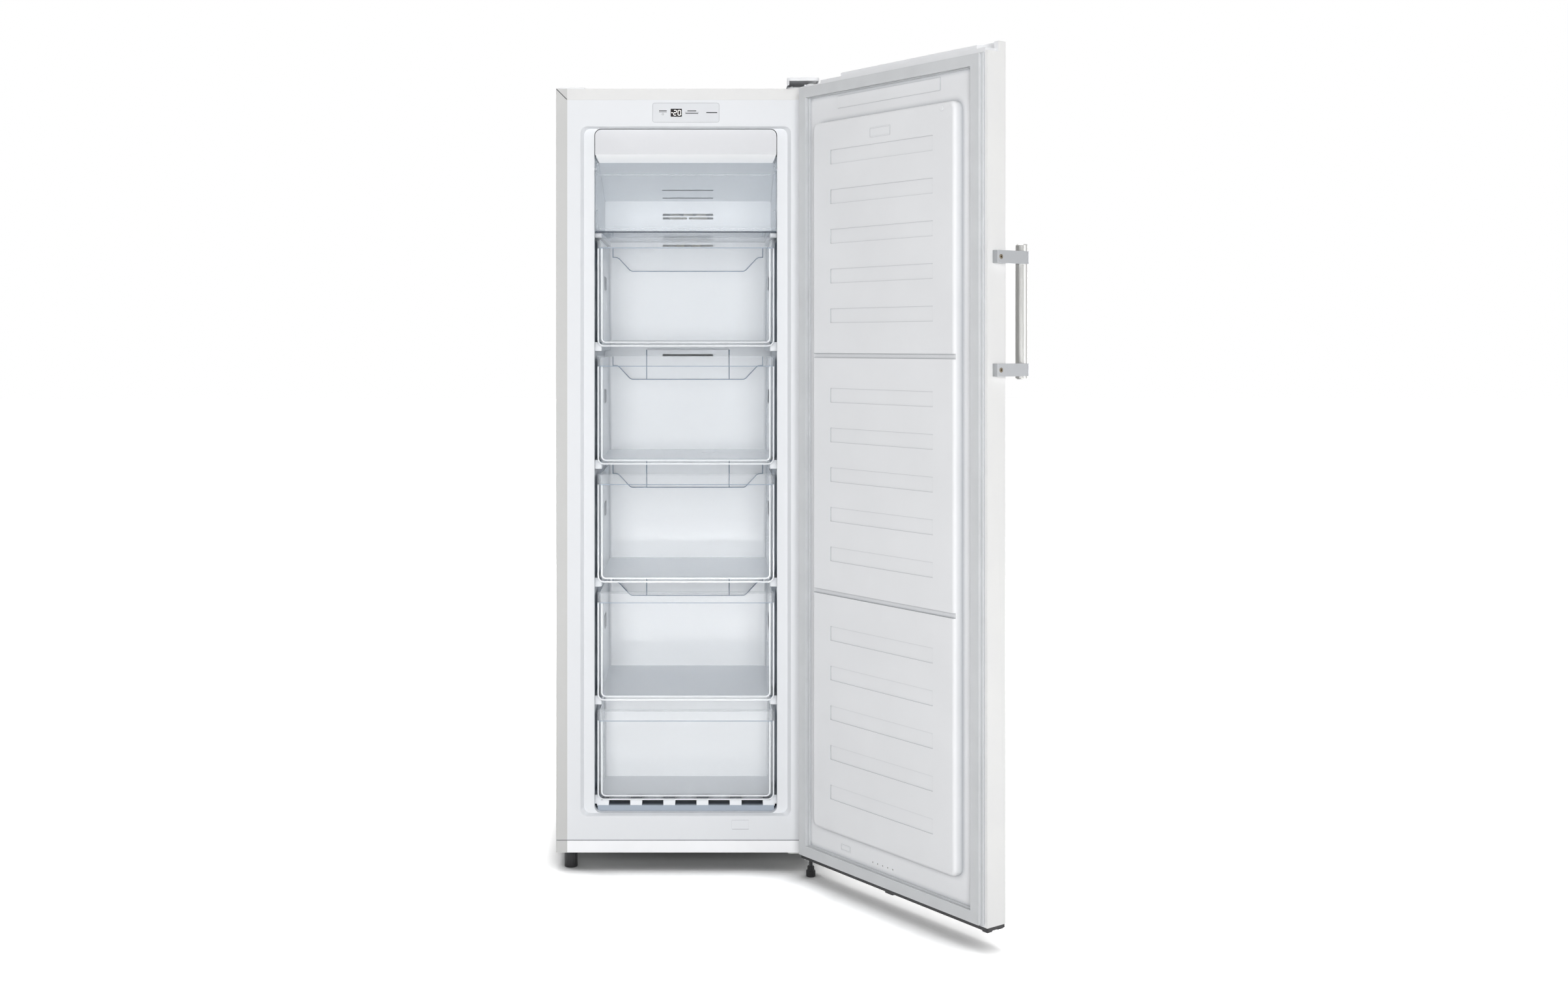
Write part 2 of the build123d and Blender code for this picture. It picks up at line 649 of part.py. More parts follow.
def insulation_foam():
    """Foam between the steel and the liner, open where other pieces are set into it."""
    y = (FRONT + SHEET, FOAM_BACK)
    foam = block(both(HALF - SHEET), y, (BODY_BOTTOM, BODY_TOP - SHEET))
    foam = fillet(foam.edges().filter_by(Axis.Y).group_by(Axis.Z)[-1], BEND - SHEET)
    toe = block(both(LINER_HALF), (FRONT, FRONT + TOE_T), (BODY_BOTTOM - 1, TOE_TOP + SEAM))
    room = block(both(HALF + 1), (RISER - 1, BACK + 1), (BODY_BOTTOM - 1, ROOM_TOP))
    strip = block(both(HALF), (FRONT, RISER), (BODY_BOTTOM - 1, BODY_BOTTOM + BACK_SHEET))
    foam = foam - liner_envelope() - [toe, room, strip]
    board = block(
        (BEZEL_X[0] + BEZEL_EDGE, BEZEL_X[1] - BEZEL_EDGE),
        (FRONT, FRONT + BOARD_GAP + BOARD_DEEP),
        (BEZEL_Z[0] + BEZEL_EDGE, BEZEL_Z[1] - BEZEL_EDGE),
    )
    nut = post(STUD_R + NUT_WALL + 2 * TOUCH, FOOT_X, FRONT + FOOT_IN, (BODY_BOTTOM, STUD_TOP + 4))
    drain = post(HOSE_R + TOUCH, HOSE_X, hose_y(), (ROOM_TOP - 1, HUMP_TOP))
    flap_x = OPEN_HALF + LINER_T + 2
    flap = rod_x(FLAP_PIN_R + RUNNING, both(flap_x), FLAP_PIVOT_Y, FLAP_PIVOT_Z)
    low = [post(SCREW_R + TOUCH, x, y, (BODY_BOTTOM, BODY_BOTTOM + SCREW_L + 1)) for x, y in hinge_holes()]
    high = [post(SCREW_R + TOUCH, x, y, (BODY_TOP - SCREW_L - 1, BODY_TOP)) for x, y in hinge_holes()]
    coils = [coil(TOUCH), mirrored(coil(TOUCH))]
    return foam - [board, nut, drain, flap] - low - high - coils


# --- Rear duct and cooling parts --------------------------------------------------------
def slope_z(setback):
    """Height of the sloping ceiling at a distance behind the front plane."""
    share = (setback - COVER_SLOPE_START) / (COVER_SETBACK - COVER_SLOPE_START)
    return COVER_CEILING + share * (COVER_KNEE - COVER_CEILING)


def vent(z, height, setback, x=both(VENT_HALF)):
    y = (FRONT + setback - 30, FRONT + setback + 30)
    return panel(x, (z - height / 2, z + height / 2), height * 0.45, y)


def duct_cover():
    """White cover over the fan and the coil: ceiling, slope and rear wall with air vents."""
    start = HEADER_SETBACK + LIP_BACK + 6
    rise = COVER_T * 1.02
    front = [(start, COVER_CEILING), (COVER_SLOPE_START, COVER_CEILING), (COVER_SETBACK, COVER_KNEE)]
    low = [(COVER_SETBACK, HUMP_TOP), (COVER_SETBACK + COVER_T, HUMP_TOP)]
    rear = [(COVER_SETBACK + COVER_T, COVER_KNEE + rise), (COVER_SLOPE_START, COVER_CEILING + rise)]
    points = [(FRONT + y, z) for y, z in front + low + rear + [(start, COVER_CEILING + rise)]]
    cover = section_x(points, both(OPEN_HALF - AIR))
    z = (HUMP_TOP, DUCT_TOP)
    duct = block(both(DUCT_HALF), (COVER_FACE - DUCT_OUT, COVER_FACE + COVER_T), z)
    duct = fillet(duct.edges().group_by(Axis.Y)[0], DUCT_BEND)
    inside = block(both(DUCT_HALF - COVER_T), (COVER_FACE - DUCT_OUT + COVER_T, COVER_FACE + 9), (z[0] - 1, z[1] - COVER_T))
    cover = cover + duct - inside
    wall = [vent(COVER_KNEE - drop, VENT_H, COVER_SETBACK) for drop in WALL_VENTS]
    for x in ((-VENT_HALF, -SPLIT_BAR / 2), (SPLIT_BAR / 2, VENT_HALF)):
        wall.append(vent(COVER_KNEE - SPLIT_VENT, VENT_H, COVER_SETBACK, x))
    backs = [COVER_SETBACK - ahead for ahead in CEILING_VENTS]
    ceiling = [vent(slope_z(back), CEILING_VENT_H, back) for back in backs]
    return cover - wall - ceiling


def header_panel():
    """White panel across the top of the opening, its lower lip leaning back."""
    y = FRONT + HEADER_SETBACK
    low = HEADER_FOOT - CORNER_DROP
    front = panel(both(HEADER_HALF), (low, HEADER_TOP), OPEN_R - 1, (y, y + HEADER_DEEP))
    front = front - block(both(HALF), (FRONT, y + HEADER_DEEP + 1), (low - 1, HEADER_FOOT))
    hollow = panel(
        both(HEADER_HALF - HEADER_T),
        (low, HEADER_TOP - HEADER_T),
        OPEN_R - 1 - HEADER_T,
        (y + HEADER_T, y + HEADER_DEEP + 1),
    )
    lip = [
        (y, HEADER_FOOT),
        (y + LIP_BACK, LIP_LOW),
        (y + LIP_BACK + 6, COVER_CEILING),
        (y + LIP_BACK + 6, COVER_CEILING + HEADER_T),
        (y + LIP_BACK + 3, COVER_CEILING + HEADER_T),
        (y + LIP_BACK - 1.5, LIP_LOW + 4.2),
        (y + HEADER_T, HEADER_FOOT + 0.6),
        (y, HEADER_FOOT + 2),
    ]
    lip = section_x(lip, both(HEADER_HALF))
    ends = section_x([(y - 1, HEADER_FOOT), (y + 40, HEADER_FOOT + 8), (y + 40, LIP_LOW - 2), (y - 1, LIP_LOW - 2)], (0, LIP_END))
    slant = math.degrees(math.atan2(LIP_END, HEADER_FOOT - LIP_LOW))
    trim = Pos(HEADER_HALF, 0, HEADER_FOOT) * Rot(0, slant, 0) * Pos(0, 0, -HEADER_FOOT) * ends
    return front - hollow + lip - [trim, mirrored(trim)]


def top_shelf():
    """Clear shelf over the first drawer, turned up at its front edge."""
    half = OPEN_HALF - 2 * AIR - RUNNING
    y = (DRAWER_FACE, COVER_FACE - 2 * AIR)
    shelf = block(both(half), y, (SHELF_Z, SHELF_Z + SHELF_T))
    return fillet(shelf.edges().filter_by(Axis.Z).group_by(Axis.Y)[0], 3.0)


def evaporator():
    """Finned aluminium coil: plates on tubes that run across, joined by half turns."""
    y_mid = sum(EVAP_Y) / 2
    tube_ys = (y_mid - TUBE_SPREAD, y_mid + TUBE_SPREAD)
    turn_out = TUBE_SPREAD + 2 * EVAP_TUBE_R
    pitch = (EVAP_Z[1] - EVAP_Z[0]) / EVAP_ROWS
    rows = [EVAP_Z[0] + pitch * (row + 0.5) for row in range(EVAP_ROWS)]
    ends = EVAP_HALF - 3
    pieces = []
    for index in range(FINS):
        x = -ends + index * 2 * ends / (FINS - 1)
        pieces.append(block((x - FIN_T / 2, x + FIN_T / 2), EVAP_Y, EVAP_Z))
    for side in (-1, 1):
        x = side * (EVAP_HALF - 1)
        pieces.append(block((x - 1, x + 1), (EVAP_Y[0], CAVITY_BACK), EVAP_Z))
    for z in rows:
        pieces += [rod_x(EVAP_TUBE_R, both(EVAP_HALF), y, z) for y in tube_ys]
    for z in rows:
        turn = Pos(EVAP_HALF, y_mid, z) * Torus(TUBE_SPREAD, EVAP_TUBE_R)
        pieces.append(turn & block((EVAP_HALF, EVAP_HALF + turn_out), (y_mid - turn_out, y_mid + turn_out), (z - 9, z + 9)))
    for z in rows[:-1]:
        turn = Pos(-EVAP_HALF, tube_ys[0], z + pitch / 2) * Rot(90, 0, 0) * Torus(pitch / 2, EVAP_TUBE_R)
        pieces.append(turn & block((-EVAP_HALF - pitch, -EVAP_HALF), (tube_ys[0] - 9, tube_ys[0] + 9), (z - 9, z + pitch + 9)))
    return pieces[0] + pieces[1:]


def defrost_heater():
    """Sheathed heater looped under the evaporator."""
    z = EVAP_Z[0] - HEATER_R - AIR
    y_mid = sum(EVAP_Y) / 2
    half = EVAP_HALF - HEATER_INSET
    out = HEATER_BEND + 2 * HEATER_R
    runs = [rod_x(HEATER_R, both(half), y_mid + side * HEATER_BEND, z) for side in (-1, 1)]
    turn = Pos(half, y_mid, z) * Torus(HEATER_BEND, HEATER_R)
    keep = block((half, half + out), (y_mid - out, y_mid + out), (z - 9, z + 9))
    return runs[0] + [runs[1], turn & keep]


def fan_motor():
    """Small motor fixed to the liner's rear wall, its shaft pointing forwards."""
    body = rod_y(MOTOR_R, 0, (FAN_Y[1] + 5, CAVITY_BACK), FAN_Z)
    arms = block(both(MOTOR_R + 22), (CAVITY_BACK - 4, CAVITY_BACK), (FAN_Z - 7, FAN_Z + 7))
    shaft = rod_y(SHAFT_R, 0, (FAN_Y[0] + 3, FAN_Y[1] + 6), FAN_Z)
    return fillet(body.edges().filter_by(GeomType.CIRCLE).group_by(Axis.Y)[0], 4.0) + [arms, shaft]


def fan_blade():
    """Axial fan wheel: hub with pitched blades inside one circle."""
    middle = sum(FAN_Y) / 2
    deep = FAN_Y[1] - FAN_Y[0]
    hub = rod_y(FAN_HUB_R, 0, FAN_Y, FAN_Z)
    reach = FAN_R - FAN_HUB_R + 4
    blades = []
    for index in range(BLADES):
        blade = Pos(0, 0, FAN_HUB_R - 2 + reach / 2) * Rot(0, 0, BLADE_PITCH) * Box(26, BLADE_T, reach)
        blades.append(Pos(0, middle, FAN_Z) * Rot(0, 360 / BLADES * index, 0) * blade)
    wheel = (hub + blades) & rod_y(FAN_R, 0, (middle - deep / 2, middle + deep / 2), FAN_Z)
    bore = rod_y(SHAFT_R + RUNNING, 0, (FAN_Y[0] + 2, FAN_Y[1] + 1), FAN_Z)
    return wheel - bore


# --- Machine compartment ----------------------------------------------------------------
def bolt_places():
    return [(COMP_X + sx * BOLT_HALF[0], COMP_Y + sy * BOLT_HALF[1]) for sx in (-1, 1) for sy in (-1, 1)]


def tray_top():
    return BODY_BOTTOM + TRAY_T


def compressor_tray():
    """Steel base of the machine compartment, with ears for the rear rollers."""
    half = HALF - SHEET - 2 * TOUCH
    y = (RISER + TOUCH, FOAM_BACK - TOUCH)
    tray = block(both(half), y, (BODY_BOTTOM, tray_top()))
    flange = block((half - TRAY_T, half), y, (BODY_BOTTOM, tray_top() + TRAY_FLANGE))
    ears = []
    for side in (-1, 1):
        inner = ROLLER_X + side * (ROLLER_W / 2 + EAR_GAP + EAR_T / 2)
        x = (inner - EAR_T / 2, inner + EAR_T / 2)
        ear = block(x, (ROLLER_Y - EAR_HALF, ROLLER_Y + EAR_HALF), (ROLLER_R - EAR_HALF / 2, BODY_BOTTOM + 1))
        ears.append(fillet(ear.edges().filter_by(Axis.X).group_by(Axis.Z)[0], EAR_HALF / 2.2))
    right = [flange] + ears
    hole = rod_x(AXLE_R + TOUCH / 2, both(HALF), ROLLER_Y, ROLLER_R)
    bolts = [post(BOLT_R + TOUCH, x, y_at, (BODY_BOTTOM - 1, tray_top() + 1)) for x, y_at in bolt_places()]
    return tray + right + [mirrored(piece) for piece in right] - hole - bolts


def roller_axles():
    out = ROLLER_W / 2 + EAR_GAP + EAR_T + 1
    axle = rod_x(AXLE_R, (ROLLER_X - out, ROLLER_X + out), ROLLER_Y, ROLLER_R)
    return Compound(children=[axle, mirrored(axle)])


def roller():
    wheel = rod_x(ROLLER_R, (ROLLER_X - ROLLER_W / 2, ROLLER_X + ROLLER_W / 2), ROLLER_Y, ROLLER_R)
    wheel = fillet(wheel.edges().filter_by(GeomType.CIRCLE), 1.5)
    return wheel - rod_x(AXLE_R + RUNNING, (0, HALF), ROLLER_Y, ROLLER_R)


def compressor():
    """Hermetic shell with its seam, foot plate and three stub tubes."""
    z = (COMP_LOW, COMP_LOW + COMP_H)
    shell = fillet(post(COMP_R, COMP_X, COMP_Y, z).edges().filter_by(GeomType.CIRCLE), COMP_ROUND)
    seam_z = COMP_LOW + COMP_H * 0.6
    seam = post(COMP_R + SEAM_OUT, COMP_X, COMP_Y, (seam_z - 2, seam_z + 2))
    wide, deep, thick = COMP_PLATE
    foot = Pos(COMP_X, COMP_Y, COMP_LOW - thick / 2 + 2) * Box(wide, deep, thick)
    foot = fillet(foot.edges().filter_by(Axis.Z), 12)
    stem = post(30, COMP_X, COMP_Y, (COMP_LOW - thick / 2 + 1, COMP_LOW + 12))
    stubs = [rod_x(PIPE_R, (COMP_X + COMP_R - 8, stub_end()), y, z_at) for y, z_at in stub_places()]
    holes = [post(BOLT_R + TOUCH, x, y, (COMP_LOW - 9, COMP_LOW + 9)) for x, y in bolt_places()]
    return shell + [seam, foot, stem] + stubs - holes


def stub_end():
    return COMP_X + COMP_R + 18


def stub_places():
    """Depth and height of the discharge and suction stubs."""
    return ((COMP_Y - 16, COMP_LOW + 92), (COMP_Y + 16, COMP_LOW + 64))


def foot_plate_low():
    return COMP_LOW + 2 - COMP_PLATE[2]


def compressor_grommets():
    rings = []
    for x, y in bolt_places():
        z = (tray_top(), foot_plate_low())
        ring = post(GROMMET_R, x, y, z)
        waist = post(GROMMET_R + 1, x, y, (z[0] + 5, z[1] - 5)) - post(GROMMET_R - 2, x, y, z)
        rings.append(ring - waist - post(BOLT_R + TOUCH, x, y, (z[0] - 1, z[1] + 1)))
    return Compound(children=rings)


def compressor_bolts():
    bolts = []
    for x, y in bolt_places():
        top = foot_plate_low() + COMP_PLATE[2]
        head = Pos(x, y, BODY_BOTTOM - 4) * extrude(RegularPolygon(7.4, 6), amount=4)
        nut = Pos(x, y, top) * extrude(RegularPolygon(7.4, 6), amount=5.5)
        bolts.append(post(BOLT_R, x, y, (BODY_BOTTOM - 2, top + 9)) + [head, nut])
    return Compound(children=bolts)


def relay_box():
    wide, deep, high = RELAY
    x = COMP_X - COMP_R - SEAM_OUT - TOUCH
    z = (COMP_LOW + RELAY_RISE, COMP_LOW + RELAY_RISE + high)
    box = block((x - wide, x), (COMP_Y - deep / 2, COMP_Y + deep / 2), z)
    return fillet(box.edges().filter_by(Axis.X), 5)


def drip_tray():
    """Open tray on top of the compressor that catches the melt water."""
    wide, deep, high = TUB_TRAY
    low = COMP_LOW + COMP_H
    x = (COMP_X - wide / 2, COMP_X + wide / 2)
    y = (COMP_Y - deep / 2, COMP_Y + deep / 2)
    tray = fillet(block(x, y, (low, low + high)).edges().filter_by(Axis.Z), 10)
    hollow = block((x[0] + 2, x[1] - 2), (y[0] + 2, y[1] - 2), (low + 2, low + high + 1))
    return tray - fillet(hollow.edges().filter_by(Axis.Z), 8)


def filter_drier():
    body = fillet(post(DRIER_R, DRIER_X, DRIER_Y, DRIER_Z).edges().filter_by(GeomType.CIRCLE), 5)
    return body


def refrigerant_pipes():
    """Discharge, suction and capillary lines between the compressor, the drier and the roof."""
    top = ROOM_TOP - BACK_SHEET
    start = stub_end()
    (out_y, out_z), (in_y, in_z) = stub_places()
    up = DRIER_X + DRIER_RUN
    loop = ((DRIER_X, DRIER_Z[0]), (DRIER_X, DRIER_LOOP_Z), (up, DRIER_LOOP_Z), (up, top))
    lines = [
        [(start, out_y, out_z), (start + DISCHARGE_RUN, out_y, out_z), (start + DISCHARGE_RUN, out_y, top)],
        [(start, in_y, in_z), (start + SUCTION_RUN, in_y, in_z), (start + SUCTION_RUN, in_y, top)],
        [(DRIER_X, DRIER_Y, DRIER_Z[1]), (DRIER_X, DRIER_Y, top)],
        [(x, DRIER_Y, z) for x, z in loop],
    ]
    tubes = []
    for line in lines:
        if len(line) == 2:
            tubes.append(post(PIPE_R, line[0][0], line[0][1], (line[0][2], line[1][2])))
        else:
            tubes.append(tube_along(line, PIPE_BEND if len(line) == 3 else 18.0, PIPE_R))
    return Compound(children=tubes)


def drain_hose():
    """Tube that carries melt water from behind the duct cover down to the tray."""
    tube = post(HOSE_R, HOSE_X, hose_y(), (HOSE_LOW, HUMP_TOP)) + post(HOSE_R + 4, HOSE_X, hose_y(), (HUMP_TOP, HUMP_TOP + 1.5))
    return tube - post(HOSE_BORE, HOSE_X, hose_y(), (HOSE_LOW - 1, HUMP_TOP + 3))


def rear_cover():
    """Louvred steel cover over the machine compartment."""
    cover = block(both(HALF - SHEET - TOUCH), (FOAM_BACK, BACK), (tray_top(), ROOM_TOP - TOUCH))
    wide, high = COVER_SLOT
    slots = []
    for column in range(7):
        for row in range(8):
            x = 62.0 * (column - 3)
            z = 120.0 + 19.0 * row
            slots.append(block((x - wide / 2, x + wide / 2), (FOAM_BACK - 1, BACK + 1), (z - high / 2, z + high / 2)))
    hole = rod_y(GLAND_R, GLAND_X, (FOAM_BACK - 1, BACK + 1), GLAND_Z)
    return cover - slots - hole


def cord_gland():
    """Sleeve where the supply lead enters through the rear cover."""
    flange = rod_y(GLAND_R + 4, GLAND_X, (BACK, BACK + 3), GLAND_Z)
    barrel = rod_y(GLAND_R - TOUCH, GLAND_X, (FOAM_BACK - 10, BACK), GLAND_Z)
    flange = fillet(flange.edges().filter_by(GeomType.CIRCLE).group_by(Axis.Y)[-1], 1.2)
    return flange + barrel - rod_y(4, GLAND_X, (FOAM_BACK - 11, BACK + 4), GLAND_Z)


# --- Controls ---------------------------------------------------------------------------
def control_bezel():
    front = panel(BEZEL_X, BEZEL_Z, BEZEL_R, (FRONT - BEZEL_RAISE, FRONT))
    front = fillet(front.edges().group_by(Axis.Y)[0], 0.5)
    inner_x = (BEZEL_X[0] + BEZEL_EDGE + TOUCH, BEZEL_X[1] - BEZEL_EDGE - TOUCH)
    inner_z = (BEZEL_Z[0] + BEZEL_EDGE + TOUCH, BEZEL_Z[1] - BEZEL_EDGE - TOUCH)
    plug = block(inner_x, (FRONT, FRONT + BOARD_GAP), inner_z)
    hollow_x = (inner_x[0] + 2, inner_x[1] - 2)
    hollow = block(hollow_x, (FRONT + 1, FRONT + BOARD_GAP + 1), (inner_z[0] + 2, inner_z[1] - 2))
    return front + (plug - hollow) - block(WINDOW_X, (FRONT - 5, FRONT + 5), WINDOW_Z)


def display_window():
    return block(WINDOW_X, (FRONT - BEZEL_RAISE, FRONT + BOARD_GAP), WINDOW_Z)


def control_board():
    """Circuit board behind the bezel, with its tallest parts."""
    y = FRONT + BOARD_GAP
    x = (BEZEL_X[0] + BEZEL_EDGE + 1, BEZEL_X[1] - BEZEL_EDGE - 1)
    z = (BEZEL_Z[0] + BEZEL_EDGE + 1, BEZEL_Z[1] - BEZEL_EDGE - 1)
    board = block(x, (y, y + BOARD_T), z)
    parts = [block((at, at + 14), (y + 1, y + BOARD_DEEP - 2), (z[0] + 6, z[0] + 20)) for at in (-50, -20, 15, 45)]
    return board + parts


# --- Hinges -----------------------------------------------------------------------------
def hinge_holes():
    inner, outer = HINGE_INNER + SCREW_IN, HALF - SCREW_IN - 2
    rear = FRONT + HINGE_REAR - SCREW_IN
    return ((inner, rear), (outer, rear), (inner, FRONT + 2 * SCREW_IN))


def hinge_plate(z):
    """Plate on the cabinet with an arm that reaches out to the pivot."""
    base = block((HINGE_INNER, HALF - 2), (FRONT + 4, FRONT + HINGE_REAR), z)
    base = fillet(base.edges().filter_by(Axis.Z), 5)
    arm_x = (PIVOT_X - HINGE_ARM / 2, PIVOT_X + HINGE_ARM / 2 - 3.5)
    arm = block(arm_x, (PIVOT_Y, FRONT + 12), z)
    return base + arm + post(HINGE_EYE - 3.5, PIVOT_X, PIVOT_Y, z)


def hinge_top_plate():
    z = (BODY_TOP, BODY_TOP + HINGE_T)
    eye = post(TOP_PIN_R, PIVOT_X, PIVOT_Y, (z[0] - 1, z[1] + 1))
    holes = [post(SCREW_R + TOUCH, x, y, (z[0] - 1, z[1] + 1)) for x, y in hinge_holes()]
    return hinge_plate(z) - eye - holes


def low_bracket_top():
    return BODY_BOTTOM - BRACKET_DROP


def hinge_bottom_bracket():
    """Joggled plate under the cabinet that carries the lower pin and the right foot."""
    top = low_bracket_top()
    base = block((HINGE_INNER, HALF - 2), (FRONT + 4, FRONT + HINGE_REAR), (top - 0.5, BODY_BOTTOM))
    base = fillet(base.edges().filter_by(Axis.Z), 5)
    arm_x = (PIVOT_X - HINGE_ARM / 2, PIVOT_X + HINGE_ARM / 2 - 3.5)
    arm = block(arm_x, (PIVOT_Y, FRONT + 14), (top - BRACKET_T, top))
    eye = post(HINGE_EYE - 3.5, PIVOT_X, PIVOT_Y, (top - BRACKET_T, top))
    hole = post(LOW_PIN_R, PIVOT_X, PIVOT_Y, (top - 9, top + 9))
    holes = [post(SCREW_R + TOUCH, x, y, (top - 9, BODY_BOTTOM + 9)) for x, y in hinge_holes()]
    return base + arm + eye - hole - holes


def hinge_pins():
    """The upper pin hangs from its plate; the lower one is hollow for the foot's stud."""
    top = BODY_TOP + HINGE_T
    upper = post(TOP_PIN_R, PIVOT_X, PIVOT_Y, (BODY_TOP - TOP_PIN_L, top))
    upper = upper + post(TOP_PIN_R + 2, PIVOT_X, PIVOT_Y, (top, top + 1.5))
    low = low_bracket_top() - BRACKET_T
    lower = post(LOW_PIN_R, PIVOT_X, PIVOT_Y, (low, LOW_PIN_TOP))
    lower = chamfer(lower.edges().group_by(Axis.Z)[-1], 1.0)
    bore = post(STUD_R + RUNNING, PIVOT_X, PIVOT_Y, (low - 1, LOW_PIN_TOP - 6))
    return Compound(children=[upper, lower - bore])


def hinge_screws():
    """Hexagon screws of both hinges."""
    screws = []
    for x, y in hinge_holes():
        top = BODY_TOP + HINGE_T
        head = Pos(x, y, top) * extrude(RegularPolygon(SCREW_HEAD_R, 6), amount=SCREW_HEAD_H)
        screws.append(post(SCREW_R, x, y, (BODY_TOP - SCREW_L, top)) + head)
        low = low_bracket_top() - 0.5
        head = Pos(x, y, low - SCREW_HEAD_H) * extrude(RegularPolygon(SCREW_HEAD_R, 6), amount=SCREW_HEAD_H)
        screws.append(post(SCREW_R, x, y, (low, BODY_BOTTOM + SCREW_L)) + head)
    return Compound(children=screws)


def hinge_top_cover():
    """Moulded cover over the top hinge, open below at its front."""
    y = (FRONT - COVER_FRONT, FRONT + COVER_REAR)
    top = BODY_TOP + COVER_H
    outer = block(HINGE_COVER_X, y, (BODY_TOP, top))
    outer = fillet(outer.edges().filter_by(Axis.Z), COVER_BEND)
    outer = fillet(outer.edges().group_by(Axis.Z)[-1], 3)
    x = (HINGE_COVER_X[0] + COVER_WALL, HINGE_COVER_X[1] - COVER_WALL)
    inner_y = (y[0] + COVER_WALL, y[1] - COVER_WALL)
    inner = block(x, inner_y, (BODY_TOP - 1, top - COVER_WALL))
    inner = fillet(inner.edges().filter_by(Axis.Z), COVER_BEND - COVER_WALL)
    past = HINGE_COVER_X[1] + COVER_WALL
    window_z = (BODY_TOP - 1, BODY_TOP + COVER_WINDOW_H)
    window = block((HINGE_COVER_X[0] + 5, past), (y[0] - 1, FRONT + 2), window_z)
    beside = block((HALF, past), (FRONT, y[1] + COVER_WALL), (BODY_TOP - 1, BODY_TOP + HINGE_T))
    return outer - inner - window - beside


def hinge_blank_cap():
    x = (BLANK_INSET[0] - HALF, BLANK_INSET[1] - HALF)
    cap = block(x, (FRONT + 1, FRONT + BLANK_DEEP), (BODY_TOP, BODY_TOP + BLANK_H))
    cap = fillet(cap.edges().filter_by(Axis.Z), 4)
    return fillet(cap.edges().group_by(Axis.Z)[-1], 1)


# --- Feet -------------------------------------------------------------------------------
def fluted(radius, x, y, z):
    knob = post(radius, x, y, z)
    knob = chamfer(knob.edges().filter_by(GeomType.CIRCLE), 0.8)
    cuts = []
    for index in range(FLUTES):
        turn = math.radians(360 / FLUTES * index)
        at_x = x + (radius + FLUTE_R * 0.3) * math.cos(turn)
        cuts.append(post(FLUTE_R, at_x, y + (radius + FLUTE_R * 0.3) * math.sin(turn), (z[0] + 3, z[1] + 1)))
    return knob - cuts


def foot_left():
    y = FRONT + FOOT_IN
    return fluted(FOOT_R, FOOT_X, y, (0, FOOT_H)) + post(STUD_R, FOOT_X, y, (FOOT_H - 1, STUD_TOP))


def foot_right():
    knob = fluted(KNOB_R, PIVOT_X, PIVOT_Y, (0, KNOB_H))
    collar = fluted(COLLAR_R, PIVOT_X, PIVOT_Y, (KNOB_H - 1, KNOB_H + COLLAR_H))
    return knob + collar + post(STUD_R, PIVOT_X, PIVOT_Y, (KNOB_H, RIGHT_STUD_TOP))


# --- Flap and drawers -------------------------------------------------------------------
def flap():
    """Clear flap of the top compartment, with side lugs and pivot pins."""
    y = (FLAP_FACE, FLAP_FACE + FLAP_T)
    sheet = panel(both(FLAP_HALF), (FLAP_LOW, FLAP_HIGH), FLAP_R, y)
    rim_y = (FLAP_FACE + FLAP_T - 0.5, FLAP_FACE + FLAP_RIM)
    half = FLAP_HALF - FLAP_R - LUG_T
    rims = [block(both(half), rim_y, (z, z + 2)) for z in (FLAP_LOW + 3, FLAP_HIGH - FLAP_LINE_DROP)]
    lug_y = (FLAP_FACE + FLAP_T - 0.5, FLAP_FACE + LUG_DEEP)
    sides = []
    for low, high in ((FLAP_LOW + FLAP_R, FLAP_LOW + LUG_LOW_H), (FLAP_HIGH - LUG_HIGH_H, FLAP_HIGH - FLAP_R)):
        lug = block((FLAP_HALF - 1 - LUG_T, FLAP_HALF - 1), lug_y, (low, high))
        sides.append(fillet(lug.edges().filter_by(Axis.X).group_by(Axis.Y)[-1], 5))
    sides.append(rod_x(FLAP_PIN_R, (FLAP_HALF - 3, OPEN_HALF + LINER_T), FLAP_PIVOT_Y, FLAP_PIVOT_Z))
    return sheet + rims + sides + [mirrored(piece) for piece in sides]


def drawer_front(index):
    """Clear front with a moulded border and a pull lip along its top edge."""
    top = drawer_top(index)
    z = (top - front_height(index), top)
    y = (DRAWER_FACE, DRAWER_FACE + FRONT_T)
    plate = panel(both(FRONT_HALF), (z[0], z[1] + 30), FRONT_R, y)
    plate = plate - block(both(HALF), (FRONT, FRONT + 60), (top, top + 60))
    rims = []
    for inset in (0.0, 2.6 * RIM_W):
        out_y = (DRAWER_FACE - RIM_H, DRAWER_FACE + 1)
        half = FRONT_HALF - inset
        ring = panel(both(half), (z[0] + inset, top + 30), FRONT_R - inset / 2, out_y)
        hole = panel(both(half - RIM_W), (z[0] + inset + RIM_W, top + 34), FRONT_R - RIM_W - inset / 2, (out_y[0] - 1, out_y[1] + 1))
        rims.append(ring - hole - block(both(HALF), (FRONT, FRONT + 60), (top - GRIP_H - 1, top + 60)))
    grip = block(both(FRONT_HALF), (DRAWER_FACE - GRIP_OUT, DRAWER_FACE + 1), (top - GRIP_H, top))
    grip = fillet(grip.edges().filter_by(Axis.X).group_by(Axis.Y)[0].group_by(Axis.Z)[-1], 4.0)
    under = block(both(HALF), (DRAWER_FACE - GRIP_OUT + GRIP_T, DRAWER_FACE), (top - GRIP_H - 1, top - GRIP_T))
    return plate + rims + (grip - under)


